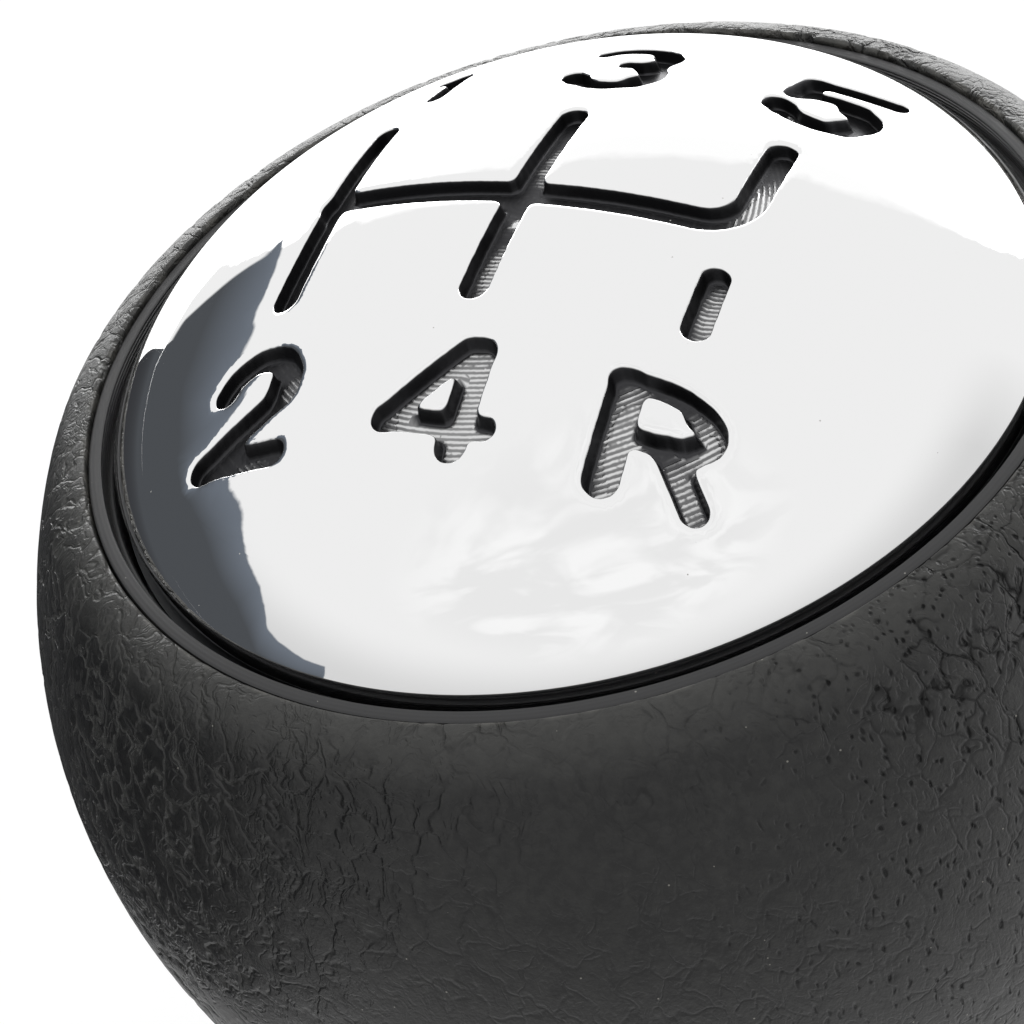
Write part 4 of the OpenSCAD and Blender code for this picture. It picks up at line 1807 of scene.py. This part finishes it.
@dataclass
class ThreadInsert:
    """Brass insert with a cut M12 thread, a chamfer, two grooves and a hexagon."""

    bore_r: float = 5.35
    thread_r: float = 6.0
    pitch: float = 1.25
    length: float = 20.0
    cover: float = 2.0
    lead_in: float = 0.8
    outer_r: float = 8.0
    groove_w: float = 1.4
    groove_d: float = 0.6
    hex_r: float = 9.4
    hex_h: float = 5.0
    hex_root: float = 0.5
    chamfer: float = 0.3
    flank: Span = (1.3, 2.9)
    foot_z: float = 1.6
    rows: int = 8
    segments: int = 96

    def build(self) -> bpy.types.Object:
        """Makes the turned outside, the hexagon and the helical thread inside.

        Returns:
            The insert's object.
        """
        parts = MeshParts()
        foot, top = self.foot_z, self.foot_z + self.length + self.cover
        hex_z = foot + (self.length + self.cover - self.hex_h) / 2
        face_r = self.outer_r - self.chamfer
        outline = [(self.bore_r + self.lead_in, foot), (face_r, foot), (self.outer_r, foot + self.chamfer)]
        for middle in ((foot + hex_z) / 2, (top + hex_z + self.hex_h) / 2):
            low, high = middle - self.groove_w / 2, middle + self.groove_w / 2
            inner = self.outer_r - self.groove_d
            outline += [(self.outer_r, low), (inner, low), (inner, high), (self.outer_r, high)]
        outline += [(self.outer_r, top - self.chamfer), (face_r, top), (CLOSED_R, top)]
        outline += [(CLOSED_R, foot + self.length), (self.bore_r, foot + self.length)]
        first = parts.add_turned(np.array(outline), self.segments, closed=False)
        self._add_thread(parts, first, len(outline))
        hexagon = np.array([
            (self.outer_r - self.hex_root, hex_z), (self.hex_r, hex_z),
            (self.hex_r, hex_z + self.hex_h), (self.outer_r - self.hex_root, hex_z + self.hex_h),
        ])
        parts.add_turned(hexagon, 6)
        return parts.make("thread_insert_dress", 32)

    def _add_thread(self, parts: MeshParts, first: int, rings: int) -> None:
        """Adds the threaded wall between the blind end and the chamfer.

        Args:
            parts: Mesh that gets the wall.
            first: Number of the outline's first vertex.
            rings: Number of points in the outline.
        """
        heights = np.arange(0, self.length, self.pitch / self.rows)[1:]
        turn = np.arange(self.segments) * (2 * math.pi / self.segments)
        grid = np.zeros((self.segments, len(heights), 3))
        for j, depth in enumerate(heights):
            phase = (depth / self.pitch - turn / (2 * math.pi)) % 1.0
            cut = np.clip(self.flank[0] - self.flank[1] * np.abs(phase - 0.5), 0, 1)
            ease = np.clip(min(depth, self.length - depth) / self.pitch, 0, 1)
            wall = self.bore_r + (self.thread_r - self.bore_r) * cut * ease
            from_foot = self.length - depth
            wall = np.maximum(wall, self.bore_r + max(0.0, self.lead_in - from_foot))
            grid[:, j, 0], grid[:, j, 1] = wall * np.cos(turn), wall * np.sin(turn)
            grid[:, j, 2] = self.foot_z + from_foot
        start, many = parts.add_points(grid.reshape(-1, 3)), len(heights)
        for i in range(self.segments):
            j = (i + 1) % self.segments
            here = [first + i * rings + rings - 1, *range(start + i * many, start + (i + 1) * many),
                    first + i * rings]
            there = [first + j * rings + rings - 1, *range(start + j * many, start + (j + 1) * many),
                     first + j * rings]
            for k in range(len(here) - 1):
                parts.faces.append((here[k], there[k], there[k + 1], here[k + 1]))

    def dress(self, piece: bpy.types.Object) -> None:
        """Gives the insert its brass and puts it in place."""
        seat_piece(piece, "thread_insert", TURNED_BRASS)


@dataclass
class InnerParts:
    """Solids inside the knob that keep their own shape and get a finish."""

    finishes: dict[str, Finish] = field(default_factory=lambda: {
        "plate_tape": CELL_FOAM,
        "plate_carrier": BLACK_NYLON,
        "carrier_screw_1": ZINC_STEEL,
        "carrier_screw_2": ZINC_STEEL,
        "carrier_screw_3": ZINC_STEEL,
        "core_body": GLASS_NYLON,
    })

    def dress(self) -> None:
        """Gives each solid its finish."""
        for node, finish in self.finishes.items():
            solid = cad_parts[node]
            made = finish.material()
            if solid.data.materials:
                for i in range(len(solid.data.materials)):
                    solid.data.materials[i] = made
            else:
                solid.data.materials.append(made)
            LOG.info("%s: %s", node, finish.name)


# Studio

@dataclass
class Studio:
    """Pale floor, soft light, surroundings that the chrome mirrors, and the camera.

    Places of the camera are in millimetres, and those of the floor and the card in metres.
    Heights and turns in the tent are parts of a direction of length 1, or degrees.

    Attributes:
        paper_deep: Places in y between which the mirrored floor grows brighter.
        paper_mirrored: Levels that the chrome mirrors at those places.
        paper_glow: Share of that level, the rest being lit paper.
        back_level: Level at the arch's foot.
        back_rise: Heights between which the arch falls to the horizon's level.
        arch_power: Power that sets how square the arch is.
        arch_edge: Span over which it ends.
        front_rise: Heights between which the front reaches the ceiling's level.
        front_turn: How far the front turns round at the right.
        front_share: Span in y between the front and the back.
        dark_edge: Colour near the dark side's top edge.
        dark_low: Colour low down, beside the knob.
        dark_near: Span below the top edge over which that colour fades.
        card_fade: Distances between which the card's tone fades.
        dark_span: Half of the angle that the dark side's outlines cover.
        dark_top: Angle and height of its top outline, in degrees.
        dark_foot: Angle and height of its lower outline, in degrees.
        fold_noise: Levels of noise from a fold's valley to its ridge.
        fold_level: Change of level in a valley and on a ridge.
        fold_span: How near to fold_way the folds start and are full.
    """

    camera_at: tuple[float, float, float] = (40.28, -62.70, 103.53)
    camera_forward: tuple[float, float, float] = (-0.4362, 0.6010, -0.6698)
    camera_up: tuple[float, float, float] = (-0.1031, 0.7060, 0.7007)
    lens: float = 87.89
    floor_size: float = 6.0
    paper: str = "#ececec"
    paper_deep: Span = (-0.1, 0.25)
    paper_mirrored: Span = (0.6, 3.2)
    paper_seen: float = 1.07
    paper_glow: float = 0.78
    world_level: float = 0.78
    horizon: float = 1.06
    ceiling: float = 0.91
    back_level: float = 8.0
    back_rise: Span = (0.05, 0.45)
    arch_at: float = -0.2
    arch_half: float = 0.6
    arch_top: float = 0.525
    arch_power: float = 2.6
    arch_wobble: float = 0.3
    arch_edge: Span = (1.08, 1.22)
    front_low: float = 0.7
    front_rise: Span = (0.2, 0.6)
    front_turn: float = -0.8
    front_share: Span = (-0.35, 0.12)
    dark: str = "#4c4f53"
    dark_edge: str = "#6c737d"
    dark_low: str = "#36373a"
    dark_near: Span = (0.02, 0.2)
    card_from: float = 153.0
    card_to: float = 231.0
    card_start: float = 0.045
    card_steps: int = 25
    card_z: float = 0.0004
    card_fade: Span = (0.05, 0.7)
    dark_span: float = 60.0
    dark_top: tuple[tuple[float, float], ...] = (
        (-60, -60), (-42, -30), (-39, 6), (-36.5, 12.5), (-32.8, 17.2), (-28.1, 20.5), (-23.9, 23.1),
        (-12, 28.5), (0, 31.6), (6, 32.8), (10.5, 32.2), (18.7, 28.4), (25.6, 26.2), (30.6, 21.4),
        (34.4, 15.2), (38.2, 13.3), (44.8, 12.9), (50.0, 14.0), (51.5, -10), (53, -60), (60, -60),
    )
    dark_foot: tuple[tuple[float, float], ...] = (
        (-60, 10), (-35, 10), (-33.2, 6.8), (-31.2, 4.2), (-29.4, 1.3), (-27.6, 0.7), (-27, -5),
        (-26, -60), (60, -60),
    )
    fold_noise: Span = (0.42, 0.62)
    fold_level: Span = (-0.05, 0.07)
    fold_way: tuple[float, float, float] = (0.12, -0.42, 0.9)
    fold_span: Span = (0.8, 0.95)

    def build(self) -> None:
        """Makes the floor, the lamps, the world and the camera."""
        self._floor()
        self._dark_card()
        self._lamps()
        self._world()
        self._camera()
        bpy.context.scene.view_settings.view_transform = "Standard"

    @staticmethod
    def _sheet(
        name: str, corners: list[tuple[float, ...]], faces: list[tuple[int, ...]], paint: str
    ) -> tuple[bpy.types.Object, Tree]:
        """Adds a flat mesh with an empty material.

        Args:
            name: Name of the object and its mesh.
            corners: Its corners in metres.
            faces: Its faces.
            paint: Name of the material.

        Returns:
            The object and the material's tree.
        """
        mesh = bpy.data.meshes.new(name)
        mesh.from_pydata(corners, [], faces)
        sheet = bpy.data.objects.new(name, mesh)
        bpy.context.scene.collection.objects.link(sheet)
        made = bpy.data.materials.new(paint)
        made.use_nodes = True
        made.node_tree.nodes.clear()
        mesh.materials.append(made)
        return sheet, made.node_tree

    def _floor(self) -> None:
        """A pale floor that looks white and keeps a soft shadow."""
        side = self.floor_size / 2
        corners = [(-side, -side, 0.0), (side, -side, 0.0), (side, side, 0.0), (-side, side, 0.0)]
        floor, tree = self._sheet("studio_floor", corners, [(0, 1, 2, 3)], "white_paper_floor")
        matt = add_node(tree, "BsdfDiffuse", {"Color": linear(self.paper)})
        place = add_node(tree, "TexCoord").outputs["Object"]
        deep = add_node(tree, "SeparateXYZ", {0: place}).outputs[1]
        mirrored = first(tree, "MapRange", ramp(deep, self.paper_deep, self.paper_mirrored))
        path = add_node(tree, "LightPath")
        level = first(
            tree, "MapRange",
            ramp(path.outputs["Is Camera Ray"], (0.0, 1.0), (mirrored, self.paper_seen)),
        )
        glow = add_node(tree, "Emission", {"Strength": level})
        seen = add_node(
            tree, "Math.MAXIMUM", {0: path.outputs["Is Camera Ray"], 1: path.outputs["Is Glossy Ray"]},
        )
        share = add_node(tree, "Math.MULTIPLY", {0: seen.outputs[0], 1: self.paper_glow})
        mix = add_node(tree, "MixShader", {0: share.outputs[0], 1: matt.outputs[0], 2: glow.outputs[0]})
        add_node(tree, "OutputMaterial", {"Surface": mix.outputs[0]})

    def _dark_card(self) -> None:
        """Dark card that lies on the floor at the left, below the tent's dark side."""
        n = self.card_steps
        rim = [
            (r * math.cos(a), r * math.sin(a), self.card_z)
            for r in (self.card_start, self.floor_size / 2)
            for a in np.radians(np.linspace(self.card_from, self.card_to, n))
        ]
        faces = [(i, i + n, i + n + 1, i + 1) for i in range(n - 1)]
        card, tree = self._sheet("dark_card", rim, faces, "dark_card_paint")
        card.visible_camera = card.visible_diffuse = card.visible_shadow = False
        place = add_node(tree, "TexCoord").outputs["Object"]
        away = add_node(tree, "VectorMath.LENGTH", {0: place}).outputs["Value"]
        share = first(tree, "MapRange", ramp(away, self.card_fade), interpolation_type="SMOOTHSTEP")
        tone = add_node(
            tree, "Mix", {0: share, 6: linear(self.dark_low), 7: linear(self.dark)},
            data_type="RGBA",
        ).outputs[2]
        glow = add_node(tree, "Emission", {"Color": tone})
        add_node(tree, "OutputMaterial", {"Surface": glow.outputs[0]})

    def _lamps(self) -> None:
        """Two wide soft lamps that the mirror doesn't show."""
        for name, at, size, watts in (
            ("key_lamp", (-0.45, 0.35, 0.75), 0.7, 3.2),
            ("fill_lamp", (0.6, -0.5, 0.5), 0.8, 0.7),
        ):
            light = bpy.data.lights.new(name, "AREA")
            light.shape, light.size, light.energy = "DISK", size, watts
            lamp = bpy.data.objects.new(name, light)
            lamp.location = at
            lamp.rotation_euler = (-Vector(at)).to_track_quat("-Z", "Y").to_euler()
            lamp.visible_glossy = False
            bpy.context.scene.collection.objects.link(lamp)

    def _world(self) -> None:
        """White tent with one dark side, a little greyer overhead and low at the front."""
        world = bpy.data.worlds.new("studio_world")
        bpy.context.scene.world = world
        world.use_nodes = True
        tree = world.node_tree
        tree.nodes.clear()
        way = add_node(tree, "TexCoord").outputs["Generated"]
        parts = add_node(tree, "SeparateXYZ", {0: way})
        wobble = first(tree, "TexNoise", {"Vector": way, "Scale": 9.0, "Detail": 4.0, "Roughness": 0.6})
        shade, near_edge = self._dark_side(tree, parts, wobble)
        streak = add_node(
            tree, "Mix", {0: near_edge, 6: linear(self.dark), 7: linear(self.dark_edge)},
            data_type="RGBA",
        ).outputs[2]
        folded = first(tree, "Math.ADD", {0: self._tent(tree, parts, wobble), 1: self._folds(tree, way)})
        mirror = add_node(tree, "Mix", {0: shade, 6: folded, 7: streak}, data_type="RGBA").outputs[2]
        path = add_node(tree, "LightPath")
        level = first(
            tree, "MapRange",
            ramp(path.outputs["Is Glossy Ray"], (0.0, 1.0), (self.world_level, 1.0)),
        )
        tented = first(tree, "Background", {"Color": mirror, "Strength": level})
        white = add_node(tree, "Background", {"Color": linear("#ffffff"), "Strength": 1.0})
        whole = first(
            tree, "MixShader",
            {0: path.outputs["Is Camera Ray"], 1: tented, 2: white.outputs[0]},
        )
        add_node(tree, "OutputWorld", {"Surface": whole})

    def _tent(self, tree: Tree, parts: Node, wobble: Socket) -> Socket:
        """Level of the white tent: even overhead, a bright arch at the back, greyer low in front.

        Args:
            tree: The world's tree.
            parts: Node with the direction's parts.
            wobble: Unevenness of the step between the levels.

        Returns:
            Socket with the level.
        """
        along, deep, height = parts.outputs
        reach = None
        for value, middle, half in (
            (along, self.arch_at, self.arch_half), (height, 0.0, self.arch_top)
        ):
            offset = first(tree, "Math.MULTIPLY_ADD", {0: value, 1: 1 / half, 2: -middle / half})
            size = first(tree, "Math.ABSOLUTE", {0: offset})
            power = first(tree, "Math.POWER", {0: size, 1: self.arch_power})
            reach = power if reach is None else first(tree, "Math.ADD", {0: reach, 1: power})
        uneven = first(tree, "Math.MULTIPLY_ADD", {0: wobble, 1: self.arch_wobble, 2: reach})
        glow = first(
            tree, "MapRange",
            ramp(height, self.back_rise, (self.back_level, self.horizon)),
            interpolation_type="SMOOTHSTEP",
        )
        back = first(tree, "MapRange", ramp(uneven, self.arch_edge, (glow, self.ceiling)))
        front = first(
            tree, "MapRange",
            ramp(height, self.front_rise, (self.front_low, self.ceiling)),
            interpolation_type="SMOOTHSTEP",
        )
        right = first(tree, "Math.MAXIMUM", {0: along, 1: 0.0})
        turned = first(tree, "Math.MULTIPLY_ADD", {0: right, 1: self.front_turn, 2: deep})
        share = first(tree, "MapRange", ramp(turned, self.front_share))
        return first(tree, "Mix", {0: share, 2: front, 3: back})

    def _dark_side(self, tree: Tree, parts: Node, wobble: Socket) -> tuple[Socket, Socket]:
        """Share of the dark side in a direction, 1 in it and 0 outside, and its top edge.

        Args:
            tree: The world's tree.
            parts: Node with the direction's parts.
            wobble: Unevenness of its outline.

        Returns:
            Sockets with the share, and with how near its top edge is.
        """
        back = [first(tree, "Math.MULTIPLY", {0: parts.outputs[i], 1: -1.0}) for i in (0, 1)]
        turn = first(tree, "Math.ARCTAN2", {0: back[1], 1: back[0]})
        reach = math.radians(self.dark_span)
        share = first(tree, "MapRange", ramp(turn, (-reach, reach)))
        shade, nearness = None, []
        for outline, way, ragged, soft in (
            (self.dark_top, 1.0, 0.03, 0.006), (self.dark_foot, -1.0, 0.012, 0.01)
        ):
            line = add_node(tree, "FloatCurve", {"Value": share})
            curve = line.mapping.curves[0]
            spots = [
                (0.5 + a / (2 * self.dark_span), (math.sin(math.radians(e)) + 1) / 2)
                for a, e in outline
            ]
            curve.points[0].location, curve.points[1].location = spots[0], spots[-1]
            for spot in spots[1:-1]:
                curve.points.new(*spot)
            for point in curve.points:
                point.handle_type = "VECTOR"
            line.mapping.update()
            level = first(tree, "MapRange", ramp(line.outputs[0], (0.0, 1.0), (-1.0, 1.0)))
            gap = add_node(tree, "Math.SUBTRACT", {0: level, 1: parts.outputs[2]})
            nearness.append(first(tree, "MapRange", ramp(gap.outputs[0], self.dark_near, (1.0, 0.0))))
            uneven = first(tree, "Math.MULTIPLY_ADD", {0: wobble, 1: ragged, 2: gap.outputs[0]})
            cut = first(tree, "MapRange", ramp(uneven, (ragged / 2 - soft * way, ragged / 2 + soft * way)))
            shade = cut if shade is None else first(tree, "Math.MULTIPLY", {0: shade, 1: cut})
        return shade, nearness[0]

    def _folds(self, tree: Tree, way: Socket) -> Socket:
        """Soft folds of the tent's cloth towards the front, as a small change of level.

        Args:
            tree: The world's tree.
            way: Direction that is looked up.

        Returns:
            Socket with the change.
        """
        bent = first(tree, "TexNoise", {"Vector": way, "Scale": 3.0, "Detail": 3.0, "Distortion": 1.6})
        crease = first(
            tree, "MapRange",
            ramp(bent, self.fold_noise, self.fold_level),
            interpolation_type="SMOOTHSTEP",
        )
        front = add_node(tree, "VectorMath.DOT_PRODUCT", {0: way, 1: self.fold_way}).outputs["Value"]
        where = first(tree, "MapRange", ramp(front, self.fold_span), interpolation_type="SMOOTHSTEP")
        return first(tree, "Math.MULTIPLY", {0: crease, 1: where})

    def _camera(self) -> None:
        """Camera at the photograph's place and angle, without shift or depth of field."""
        data = bpy.data.cameras.new("camera")
        data.lens, data.sensor_width = self.lens, 36.0
        data.clip_start, data.clip_end = 0.005, 50.0
        camera = bpy.data.objects.new("camera", data)
        bpy.context.scene.collection.objects.link(camera)
        forward = Vector(self.camera_forward).normalized()
        right = forward.cross(Vector(self.camera_up)).normalized()
        up = right.cross(forward)
        camera.matrix_world = Matrix.Translation(Vector(self.camera_at) * MM) @ Matrix(
            (right, up, -forward)
        ).transposed().to_4x4()
        bpy.context.scene.camera = camera


def main() -> None:
    """Builds and dresses the pieces, then the studio."""
    logging.basicConfig(level=logging.INFO, format="%(name)s: %(message)s")
    Studio().build()
    for maker in (GripSkin(), TrimRing(), ShiftPlate(), NeckCollar(), ThreadInsert()):
        maker.dress(maker.build())
    InnerParts().dress()


if __name__ == "__main__":
    main()
